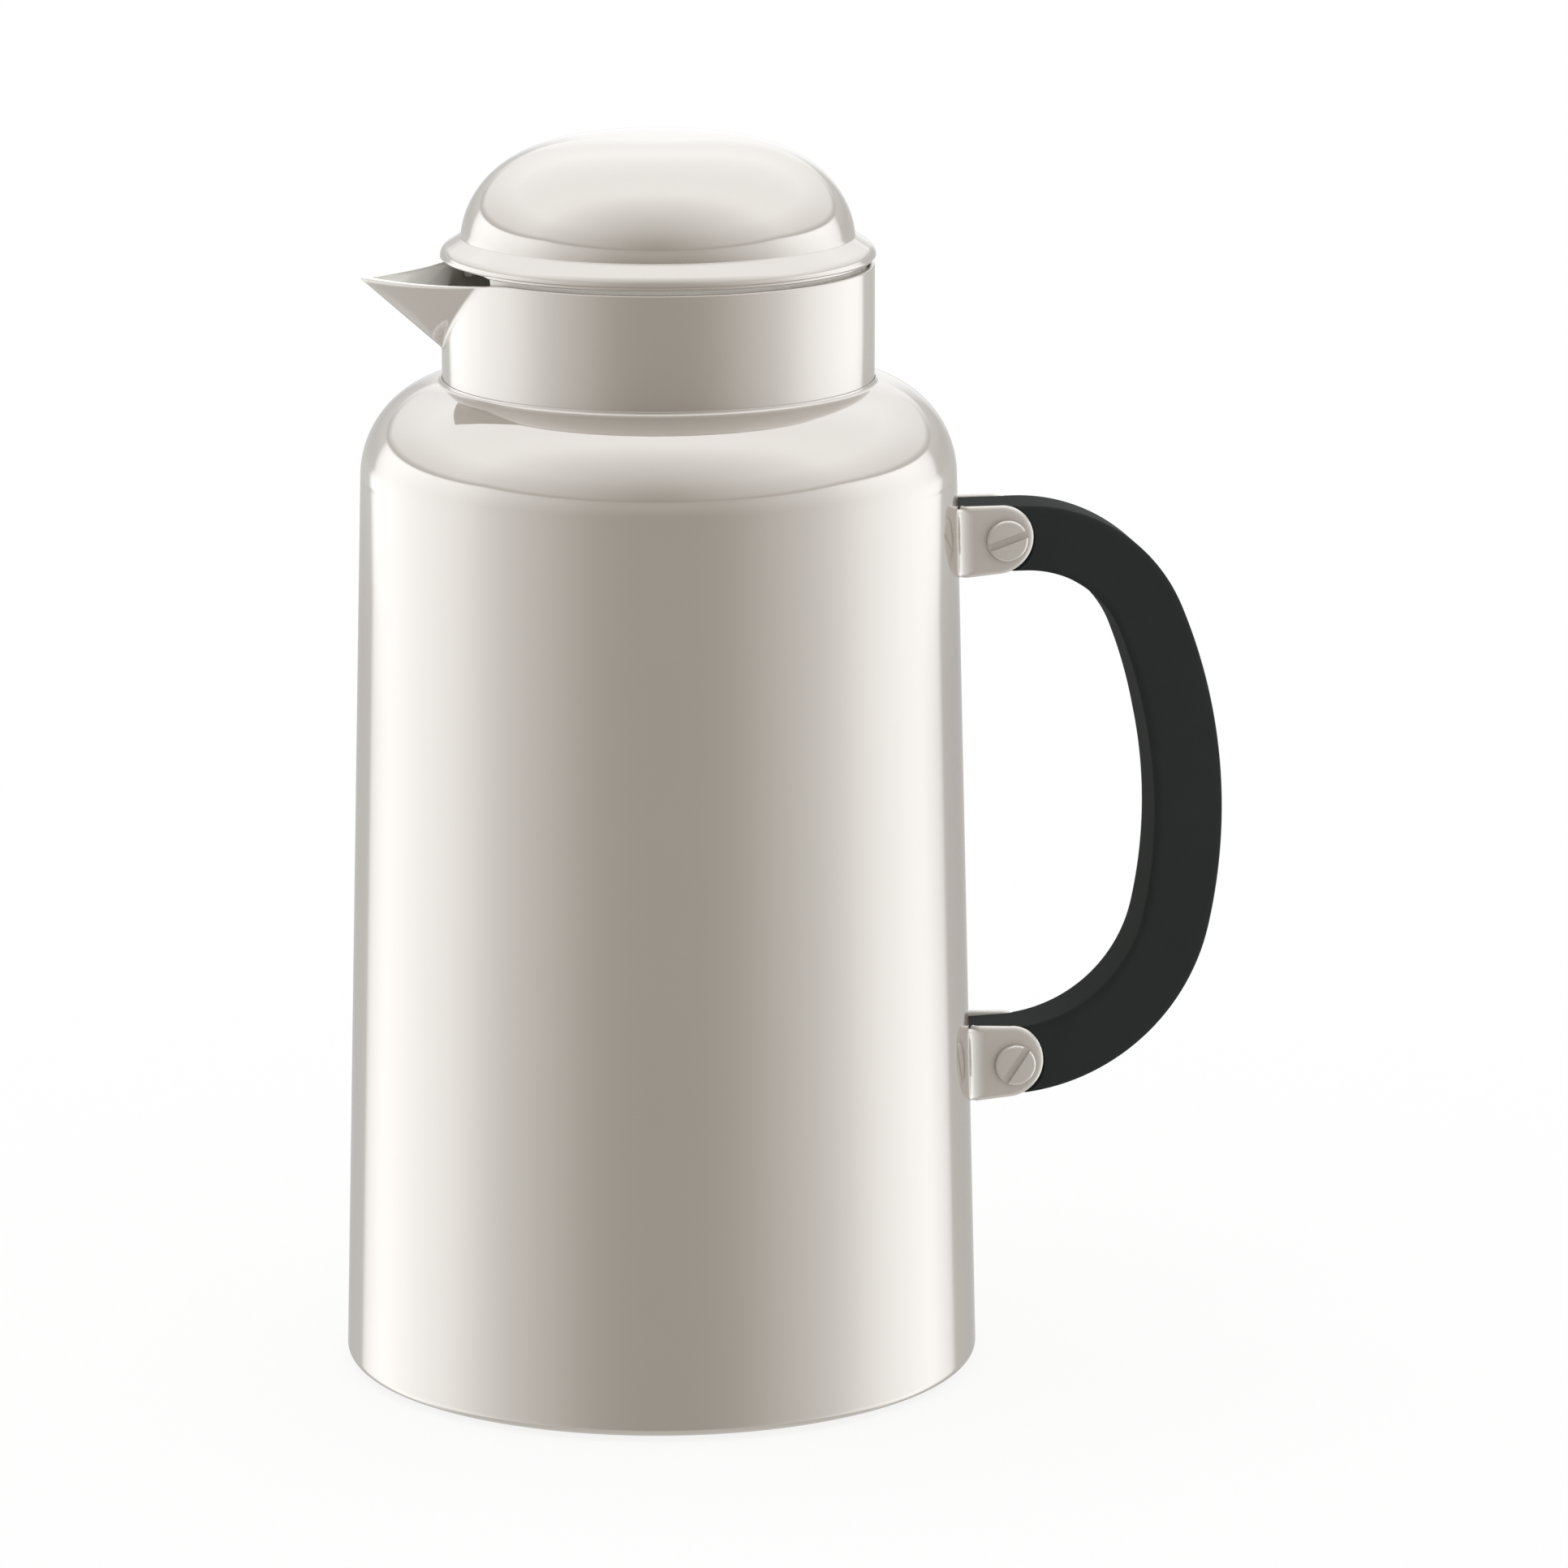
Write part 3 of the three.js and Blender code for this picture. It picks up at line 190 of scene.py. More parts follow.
def smooth_step(low: float, high: float, value: Array) -> Array:
    """Rises from 0 to 1 between two limits along 3 t² - 2 t³."""
    share = np.clip((value - low) / (high - low), 0, 1)
    return share * share * (3 - 2 * share)


def spout_angles(half_degrees: float = 34.0, fine: int = 171, coarse: int = 148) -> Array:
    """Angles once round the jug, from the spout's middle line, close together near the spout."""
    half = math.radians(half_degrees)
    near = np.linspace(-half, half, fine)
    far = np.linspace(half, 2 * np.pi - half, coarse)[1:-1]
    return np.concatenate([near, far])


# Surfaces and meshes


@dataclass
class Surface:
    """Points in millimetres and the quads between them."""

    points: Array
    faces: Array

    @classmethod
    def grid(cls, points: Array, round_rows: bool = False, round_columns: bool = True) -> "Surface":
        """Joins rows and columns of points into quads.

        Quad (i, j) has the corners (i, j), (i, j + 1), (i + 1, j + 1) and (i + 1, j), and a round direction
        goes back to its first line.

        Args:
            points: An array of rows by columns by 3.
            round_rows: Whether the last row joins the first.
            round_columns: Whether the last column joins the first.

        Returns:
            The surface.
        """
        rows, columns = points.shape[:2]
        i = np.arange(rows if round_rows else rows - 1)[:, None]
        j = np.arange(columns if round_columns else columns - 1)[None, :]
        below, beside = (i + 1) % rows, (j + 1) % columns
        corners = [i * columns + j, i * columns + beside, below * columns + beside, below * columns + j]
        return cls(points.reshape(-1, 3), np.stack(corners, axis=-1).reshape(-1, 4))

    @classmethod
    def around(cls, radius: Array, level: Array, angle: Array, closed: bool) -> "Surface":
        """Stands rows of points round Z: x = r cos a, y = r sin a, z = level.

        A negative radius turns a row by half a turn, so that its angles count from the spout.

        Args:
            radius: The radii, by row or by row and angle.
            level: The heights, in the same way.
            angle: The angles in radians.
            closed: Whether the last row joins the first.

        Returns:
            The surface.
        """
        points = np.broadcast_arrays(radius * np.cos(angle), radius * np.sin(angle), level)
        return cls.grid(np.stack(points, axis=-1), round_rows=closed)

    @classmethod
    def turned(cls, profile: Array, sides: int = 192, closed: bool = True) -> "Surface":
        """Turns a profile about Z in even steps.

        Args:
            profile: Points of radius and height.
            sides: The number of angles.
            closed: Whether the profile is a ring. An open one starts and ends on the axis.

        Returns:
            The surface.
        """
        angle = np.linspace(0, 2 * np.pi, sides, endpoint=False)
        return cls.around(profile[:, :1], profile[:, 1:], angle, closed)

    @classmethod
    def prism(cls, outline: Array, low: float, high: float) -> "Surface":
        """Carries a flat outline from one level to another and closes both ends on its middle.

        The four rows are the middle at the low level, the outline there, the outline at the high level
        and the middle there.

        Args:
            outline: Points of X and Y round the outline.
            low: The lower level in Z.
            high: The upper level in Z.

        Returns:
            The surface.
        """
        middle = np.broadcast_to(outline.mean(axis=0), outline.shape)
        rows = [(middle, low), (outline, low), (outline, high), (middle, high)]
        return cls.grid(np.stack([np.column_stack([flat, np.full(len(flat), z)]) for flat, z in rows]))

    def moved(self, matrix: Matrix) -> "Surface":
        """Returns the surface after a turn and a shift given by a 4 by 4 matrix."""
        spin = np.array(matrix)
        return Surface(self.points @ spin[:3, :3].T + spin[:3, 3], self.faces)

    def joined(self, *others: "Surface") -> "Surface":
        """Returns one surface that holds this one and the others."""
        parts = [self, *others]
        starts = np.cumsum([0] + [len(part.points) for part in parts[:-1]])
        faces = [part.faces + start for part, start in zip(parts, starts)]
        return Surface(np.concatenate([part.points for part in parts]), np.concatenate(faces))


class Workshop:
    """Makes finished objects from surfaces."""

    @staticmethod
    def mesh(name: str, surface: Surface) -> bpy.types.Mesh:
        """Makes a closed mesh in metres, with doubled points merged and faces turned outwards.

        Args:
            name: The mesh's name.
            surface: The surface in millimetres.

        Returns:
            The mesh.
        """
        mesh = bpy.data.meshes.new(name)
        count = len(surface.faces)
        mesh.vertices.add(len(surface.points))
        mesh.vertices.foreach_set("co", (surface.points * MM).astype(np.float32).ravel())
        mesh.loops.add(4 * count)
        mesh.loops.foreach_set("vertex_index", surface.faces.astype(np.int32).ravel())
        mesh.polygons.add(count)
        mesh.polygons.foreach_set("loop_start", np.arange(0, 4 * count, 4, dtype=np.int32))
        mesh.update(calc_edges=True)
        shape = bmesh.new()
        shape.from_mesh(mesh)
        bmesh.ops.remove_doubles(shape, verts=shape.verts, dist=WELD)
        bmesh.ops.dissolve_degenerate(shape, dist=SLIVER, edges=shape.edges)
        bmesh.ops.recalc_face_normals(shape, faces=shape.faces)
        shape.to_mesh(mesh)
        shape.free()
        return mesh

    @classmethod
    def piece(cls, name: str, surface: Surface, crease: float = 40.0) -> bpy.types.Object:
        """Makes a smooth object that keeps edges sharper than the crease angle, in degrees."""
        mesh = cls.mesh(name, surface)
        mesh.shade_smooth()
        mesh.set_sharp_from_angle(angle=math.radians(crease))
        piece = bpy.data.objects.new(name, mesh)
        bpy.context.scene.collection.objects.link(piece)
        return piece

    @staticmethod
    def points(piece: bpy.types.Object) -> Array:
        """Returns the points of a piece in millimetres."""
        flat = np.empty(3 * len(piece.data.vertices), np.float32)
        piece.data.vertices.foreach_get("co", flat)
        return flat.reshape(-1, 3).astype(float) / MM

    @staticmethod
    def paint_light(piece: bpy.types.Object, painted_light_share: Array | float) -> None:
        """Writes a piece's share of painted light, from 0 to 1, at each of its points or all over: how far
        its colour is lightened to stand in for light.
        """
        layer = piece.data.attributes.new("painted_light_share", "FLOAT", "POINT")
        shares = np.broadcast_to(np.asarray(painted_light_share, np.float32), (len(piece.data.vertices),))
        layer.data.foreach_set("value", np.ascontiguousarray(shares))

    @classmethod
    def cut(cls, piece: bpy.types.Object, cutters: list[Surface], crease: float = 30.0) -> bpy.types.Object:
        """Takes closed surfaces out of a piece and keeps the result in its mesh.

        Args:
            piece: The object to cut.
            cutters: The closed surfaces to take out.
            crease: The angle in degrees past which an edge stays sharp.

        Returns:
            The same object.
        """
        tools = []
        for number, cutter in enumerate(cutters):
            name = f"{piece.name}_cut_{number}"
            tool = bpy.data.objects.new(name, cls.mesh(name, cutter))
            bpy.context.scene.collection.objects.link(tool)
            modifier = piece.modifiers.new(name, "BOOLEAN")
            modifier.operation = "DIFFERENCE"
            modifier.solver = "EXACT"
            modifier.object = tool
            tools.append(tool)
        bpy.context.view_layer.update()
        result = bpy.data.meshes.new_from_object(piece.evaluated_get(bpy.context.evaluated_depsgraph_get()))
        piece.modifiers.clear()
        piece.data = result
        result.shade_smooth()
        result.set_sharp_from_angle(angle=math.radians(crease))
        for tool in tools:
            bpy.data.objects.remove(tool)
        return piece


# Shader nodes


@dataclass(frozen=True)
class Ramp:
    """An even passage of a value from one span to another, held at both ends. A soft one eases in and out."""

    source: tuple[float, float]
    target: tuple[float, float] = (0.0, 1.0)
    soft: bool = False


class NodeSketch:
    """Short calls that add and join the nodes of one tree."""

    def __init__(self, tree: bpy.types.NodeTree) -> None:
        """Keeps the tree that the calls add to."""
        self.tree = tree

    def add(self, kind: str, **settings: Any) -> bpy.types.Node:
        """Adds a node of a kind and gives it its settings."""
        node = self.tree.nodes.new(kind)
        for name, value in settings.items():
            setattr(node, name, value)
        return node

    def feed(self, socket: Socket, value: Any) -> None:
        """Joins an output to an input, or writes a plain value on it."""
        if isinstance(value, Socket):
            self.tree.links.new(value, socket)
        else:
            socket.default_value = value

    def math(self, operation: str, *values: Any) -> Socket:
        """Adds a Math node and returns its output."""
        node = self.add("ShaderNodeMath", operation=operation)
        for socket, value in zip(node.inputs, values):
            self.feed(socket, value)
        return node.outputs[0]

    def product(self, first: Any, second: Any) -> Socket:
        """Multiplies two values."""
        return self.math("MULTIPLY", first, second)

    def vector(self, operation: str, *values: Any) -> Socket:
        """Adds a Vector Math node and returns the output that its operation fills."""
        node = self.add("ShaderNodeVectorMath", operation=operation)
        for socket, value in zip(node.inputs, values):
            self.feed(socket, value)
        return node.outputs["Value" if operation == "DOT_PRODUCT" else "Vector"]

    def ramp(self, value: Any, ramp: Ramp) -> Socket:
        """Passes a value along a ramp."""
        kind = "SMOOTHSTEP" if ramp.soft else "LINEAR"
        node = self.add("ShaderNodeMapRange", clamp=True, interpolation_type=kind)
        for socket, number in zip(node.inputs, (value, *ramp.source, *ramp.target)):
            self.feed(socket, number)
        return node.outputs[0]

    def blend(self, share: Any, first: Any, second: Any) -> Socket:
        """Returns first plus share times the step from first to second."""
        node = self.add("ShaderNodeMix", data_type="FLOAT")
        for socket, value in zip(node.inputs, (share, None, first, second)):
            if value is not None:
                self.feed(socket, value)
        return node.outputs[0]

    def curve(self, value: Any, points: tuple[tuple[float, float], ...]) -> Socket:
        """Maps a value from 0 to 1 along a smooth curve through points, which start at 0 and end at 1."""
        node = self.add("ShaderNodeFloatCurve")
        line = node.mapping.curves[0]
        for x, y in points[1:-1]:
            line.points.new(x, y)
        line.points[0].location = points[0]
        line.points[-1].location = points[-1]
        node.mapping.update()
        self.feed(node.inputs["Value"], value)
        return node.outputs[0]

    def noise(self, place: Any, size: Any, detail: float = 2.0, roughness: float = 0.5) -> Socket:
        """Adds a noise whose features are about one size, in metres, and returns its value."""
        node = self.add("ShaderNodeTexNoise", normalize=True)
        self.feed(node.inputs["Vector"], place)
        scale = self.math("DIVIDE", 1.0, size) if isinstance(size, Socket) else 1.0 / size
        self.feed(node.inputs["Scale"], scale)
        node.inputs["Detail"].default_value = detail
        node.inputs["Roughness"].default_value = roughness
        return node.outputs[0]


class SharedEffects:
    """The node groups that more than one finish uses, each built once."""

    @staticmethod
    def _start(name: str, inputs: dict[str, str], output: str, kind: str) -> tuple[NodeSketch, Any, Socket]:
        """Starts a group with named inputs and one output.

        Args:
            name: The group's name.
            inputs: The kind of each input socket, by name.
            output: The output socket's name.
            kind: The output socket's kind.

        Returns:
            A sketch of the group, what it is given by name, and the socket for its result.
        """
        group = bpy.data.node_groups.new(name, "ShaderNodeTree")
        for label, given in inputs.items():
            group.interface.new_socket(label, in_out="INPUT", socket_type=f"NodeSocket{given}")
        group.interface.new_socket(output, in_out="OUTPUT", socket_type=f"NodeSocket{kind}")
        sketch = NodeSketch(group)
        return sketch, sketch.add("NodeGroupInput").outputs, sketch.add("NodeGroupOutput").inputs[output]

    @staticmethod
    @functools.cache
    def mottle() -> bpy.types.NodeTree:
        """A colour with soft lighter and darker patches: colour times 1 + amount (noise - 0.5)."""
        kinds = {"Place": "Vector", "Colour": "Color", "Amount": "Float", "Size": "Float"}
        sketch, given, result = SharedEffects._start("mottle", kinds, "Colour", "Color")
        patch = sketch.noise(given["Place"], given["Size"], 3.0)
        swing = sketch.product(sketch.math("SUBTRACT", patch, 0.5), given["Amount"])
        scaled = sketch.add("ShaderNodeVectorMath", operation="SCALE")
        sketch.feed(scaled.inputs[0], given["Colour"])
        sketch.feed(scaled.inputs["Scale"], sketch.math("ADD", swing, 1.0))
        sketch.feed(result, scaled.outputs[0])
        return sketch.tree

    @staticmethod
    @functools.cache
    def handling() -> bpy.types.NodeTree:
        """A roughness with faint patches from wiping: roughness plus amount times a squared noise."""
        kinds = {"Place": "Vector", "Roughness": "Float", "Amount": "Float", "Size": "Float"}
        sketch, given, result = SharedEffects._start("handling", kinds, "Roughness", "Float")
        patch = sketch.noise(given["Place"], given["Size"], 4.0, 0.6)
        extra = sketch.product(sketch.math("POWER", patch, 2.0), given["Amount"])
        sketch.feed(result, sketch.math("ADD", given["Roughness"], extra))
        return sketch.tree

    @staticmethod
    @functools.cache
    def grain() -> bpy.types.NodeTree:
        """The height of a moulded or sprayed skin: a fine noise over a broad one, weighed three to one."""
        kinds = {"Place": "Vector", "Size": "Float"}
        sketch, given, result = SharedEffects._start("grain", kinds, "Height", "Float")
        fine = sketch.noise(given["Place"], given["Size"], 2.0)
        broad = sketch.noise(given["Place"], sketch.product(given["Size"], 6.0), 1.0)
        sketch.feed(result, sketch.blend(0.25, fine, broad))
        return sketch.tree


@dataclass(frozen=True)
class Finish:
    """A surface finish: its colour, gloss and skin, with sizes in metres."""

    name: str
    colour: tuple[float, float, float]
    roughness: float
    metallic: float = 0.0
    ior: float = 1.5
    specular: float = 0.5
    mottle: float = 0.06
    mottle_size: float = 0.03
    handling: float = 0.06
    handling_size: float = 0.02
    grain_size: float = 0.0008
    grain_depth: float = 0.00002
    # The pale colour that painted light passes into, lightening a piece where it stands in shade.
    pale: tuple[float, float, float] | None = None
    constants: dict[str, Any] = field(default_factory=dict)

    def material(self) -> bpy.types.Material:
        """Builds the finish as a node material on object coordinates.

        A finish with a pale colour passes into it by the piece's share of painted light: a lightened colour
        that stands in for light on shaded parts.

        Returns:
            The material.
        """
        material = bpy.data.materials.new(self.name)
        material.use_nodes = True
        sketch = NodeSketch(material.node_tree)
        shader = material.node_tree.nodes["Principled BSDF"]
        place = sketch.add("ShaderNodeTexCoord").outputs["Object"]
        ground: Any = (*self.colour, 1.0)
        # Painted light: the base colour is lightened into the pale colour by the piece's share, which stands
        # in for light on shaded parts.
        if self.pale is not None:
            mix = sketch.add("ShaderNodeMix", data_type="RGBA")
            share = sketch.add("ShaderNodeAttribute", attribute_name="painted_light_share").outputs["Fac"]
            for number, value in ((0, share), (6, ground), (7, (*self.pale, 1.0))):
                sketch.feed(mix.inputs[number], value)
            ground = mix.outputs[2]
        colour = self._effect(sketch, SharedEffects.mottle(), place,
                              Colour=ground, Amount=self.mottle, Size=self.mottle_size)
        sketch.feed(shader.inputs["Base Color"], colour)
        roughness = self._effect(sketch, SharedEffects.handling(), place, Roughness=self.roughness,
                                 Amount=self.handling, Size=self.handling_size)
        sketch.feed(shader.inputs["Roughness"], roughness)
        height = self._effect(sketch, SharedEffects.grain(), place, Size=self.grain_size)
        bump = sketch.add("ShaderNodeBump")
        bump.inputs["Strength"].default_value = 1.0
        bump.inputs["Distance"].default_value = self.grain_depth
        sketch.feed(bump.inputs["Height"], height)
        sketch.feed(shader.inputs["Normal"], bump.outputs["Normal"])
        shader.inputs["Metallic"].default_value = self.metallic
        shader.inputs["IOR"].default_value = self.ior
        shader.inputs["Specular IOR Level"].default_value = self.specular
        for socket, value in self.constants.items():
            shader.inputs[socket].default_value = value
        return material

    @staticmethod
    def _effect(sketch: NodeSketch, group: bpy.types.NodeTree, place: Socket, **values: Any) -> Socket:
        """Places a shared group with its own values and returns its first output."""
        node = sketch.add("ShaderNodeGroup", node_tree=group)
        sketch.feed(node.inputs["Place"], place)
        for label, value in values.items():
            sketch.feed(node.inputs[label], value)
        return node.outputs[0]


FINISHES: dict[Slot, Finish] = {
    # The enamel's pale colour is painted light, lightening the collar's inside and the clamps where they
    # stand in shade.
    Slot.PAINT: Finish("pearl_enamel", (0.36, 0.322, 0.277), 0.03, ior=2.0, mottle=0.03, handling=0.03,
                       handling_size=0.05, grain_size=0.003, grain_depth=0.0000004, pale=(0.92, 0.9, 0.86)),
    Slot.HANDLE: Finish("satin_black_plastic", (0.0235, 0.026, 0.0252), 0.72, specular=0.02, mottle=0.2,
                        mottle_size=0.01, handling=0.2, grain_size=0.0005, grain_depth=0.000012),
    Slot.NECK: Finish("off_white_plastic", (0.83, 0.805, 0.75), 0.36, mottle=0.05, grain_size=0.0004,
                      grain_depth=0.000008),
    Slot.BASE: Finish("black_base_plastic", (0.016, 0.017, 0.0165), 0.48, mottle=0.15, grain_size=0.0006),
    Slot.RUBBER: Finish("matt_black_rubber", (0.03, 0.03, 0.0295), 0.8, specular=0.3, mottle=0.25,
                        mottle_size=0.008, grain_size=0.0007, grain_depth=0.00004),
    Slot.SILICONE: Finish("pale_silicone", (0.56, 0.54, 0.5), 0.42, ior=1.42, mottle=0.05, grain_size=0.0005,
                          constants={"Subsurface Weight": 0.25, "Subsurface Scale": 0.002}),
    Slot.GLASS: Finish("silvered_glass", (0.82, 0.84, 0.845), 0.04, metallic=1.0, mottle=0.05, handling=0.05,
                       grain_size=0.006, grain_depth=0.00001, constants={"Coat Weight": 0.6}),
    Slot.STEEL: Finish("plain_steel", (0.4, 0.395, 0.38), 0.28, metallic=1.0, mottle=0.08, mottle_size=0.004,
                       grain_size=0.0004, grain_depth=0.000006),
    Slot.FOAM: Finish("insulating_foam", (0.8, 0.77, 0.69), 0.9, specular=0.2, mottle=0.12, mottle_size=0.004,
                      grain_size=0.0012, grain_depth=0.0002),
}


class Dresser:
    """Gives pieces their finish, their body and the nodes that they stand for."""

    def __init__(self) -> None:
        """Builds every finish once."""
        self.materials = {slot: finish.material() for slot, finish in FINISHES.items()}

    def dress(self, piece: bpy.types.Object, body: Body, slot: Slot, *nodes: str) -> None:
        """Finishes a piece, sets it on its body and lets it stand for its nodes.

        Args:
            piece: The new object.
            body: The body that it rides on.
            slot: The finish that it has.
            nodes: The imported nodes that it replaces.
        """
        piece.data.materials.clear()
        piece.data.materials.append(self.materials[slot])
        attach(piece, body.value)
        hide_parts(*nodes)
        LOG.info("%s: %d faces, %s, on %s", piece.name, len(piece.data.polygons), slot.name.lower(),
                 body.value)

    def carry_over(self, replaced: set[str]) -> None:
        """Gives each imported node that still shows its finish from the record."""
        slots = {part["node"]: Slot(part["material_slot"]) for part in frame["record"]["subparts"]}
        for name, node in frame["nodes"].items():
            if name not in replaced:
                node.data.materials.clear()
                node.data.materials.append(self.materials[slots[name]])
                LOG.info("%s: kept as packed, %s", name, slots[name].name.lower())


# The jug's sub-assemblies, in millimetres


Made = tuple[bpy.types.Object, Body, Slot, str]


class Assembly:
    """Pieces that are made together, each with its body, its finish and the node that it stands for."""

    def pieces(self) -> Iterator[Made]:
        """Makes the pieces one by one."""
        raise NotImplementedError

    def build(self, dresser: Dresser) -> list[str]:
        """Makes and dresses the pieces, and returns the nodes that they replace."""
        nodes = []
        for piece, body, slot, node in self.pieces():
            dresser.dress(piece, body, slot, node)
            nodes.append(node)
        return nodes


@dataclass
class OuterShell(Assembly):
    """The tapering body with its round shoulder, turned-in foot and rolled neck edge."""

    base_radius: float = 67.0
    taper: float = 4.8
    wall: float = 1.0
    foot_level: float = 1.0
    foot_corner: float = 2.0
    lip_radius: float = 60.0
    shoulder_centre: float = 42.7
    shoulder_run: float = 19.5
    shoulder_rise: float = 20.3
    shoulder_start: float = 189.98
    shoulder_turn: float = math.radians(82.34)
    neck_radius: float = 45.25
    neck_fillet: float = 0.8
    neck_edge: float = 0.2
    neck_edge_rise: float = 0.12
    neck_fold: float = 1.4
    inner_cut: float = 0.05

    def radius_at(self, level: float) -> float:
        """Returns the body's radius at a level of its straight wall."""
        low = self.foot_level + self.foot_corner
        return self.base_radius - self.taper * (level - low) / (self.shoulder_start - low)

    def neck(self) -> tuple[float, Array]:
        """The neck edge, turned up against the collar in a small concave arc that is tangent to the shoulder.

        The shoulder ends where its radius is the neck's plus the arc's radius times 1 - sin of its slope.

        Returns:
            The angle at which the shoulder ends, and the edge's points from there over its thin rounded top.
        """
        turn = np.linspace(self.shoulder_turn / 2, self.shoulder_turn, 2000)
        slope = np.arctan2(self.shoulder_rise * np.cos(turn), self.shoulder_run * np.sin(turn))
        gap = (self.shoulder_centre + self.shoulder_run * np.cos(turn) - self.neck_radius
               - self.neck_fillet * (1 - np.sin(slope)))
        last = int(np.argmin(np.abs(gap)))
        centre = (self.shoulder_start + self.shoulder_rise * math.sin(turn[last])
                  + self.neck_fillet * math.cos(slope[last]))
        fillet = arc((self.neck_radius + self.neck_fillet, centre), (self.neck_fillet,) * 2,
                     (-np.pi / 2 - slope[last], -np.pi), 12)
        half = self.neck_edge / 2
        top = arc((self.neck_radius - half, centre), (half, self.neck_edge_rise), (0, np.pi), 6)
        inside = (self.neck_radius - self.neck_edge, centre - self.neck_fold)
        return turn[last], np.concatenate([fillet[1:], top[1:], [inside]])

    def profile(self) -> Array:
        """The section: foot lip, foot corner, straight wall, quarter-ellipse shoulder, neck edge and inside.

        Returns:
            A ring of points of radius and height.
        """
        low = self.foot_level + self.foot_corner
        corner = self.base_radius - self.foot_corner
        foot = arc((corner, low), (self.foot_corner,) * 2, (-np.pi / 2, 0), 12)
        end, edge = self.neck()
        shoulder = arc((self.shoulder_centre, self.shoulder_start), (self.shoulder_run, self.shoulder_rise),
                       (0, end), 72)
        share = np.linspace(0, 1, 25)[1:-1, None]
        side = foot[-1] + (shoulder[0] - foot[-1]) * share
        outside = np.concatenate([[(self.lip_radius, self.foot_level)], foot, side, shoulder])
        inner_shoulder = arc((self.shoulder_centre, self.shoulder_start),
                             (self.shoulder_run - self.wall, self.shoulder_rise - self.wall),
                             (self.shoulder_turn - self.inner_cut, 0), 24)
        inner = self.foot_corner - self.wall
        inner_foot = arc((corner, low), (inner, inner), (0, -np.pi / 2), 6)
        lip = [(self.lip_radius, self.foot_level + self.wall)]
        return np.concatenate([outside, edge, inner_shoulder, inner_foot, lip])

    def pieces(self) -> Iterator[Made]:
        """Turns the shell from its section."""
        surface = Surface.turned(supported(self.profile()), 320)
        yield Workshop.piece("body_shell", surface), Body.JUG, Slot.PAINT, "outer_shell"


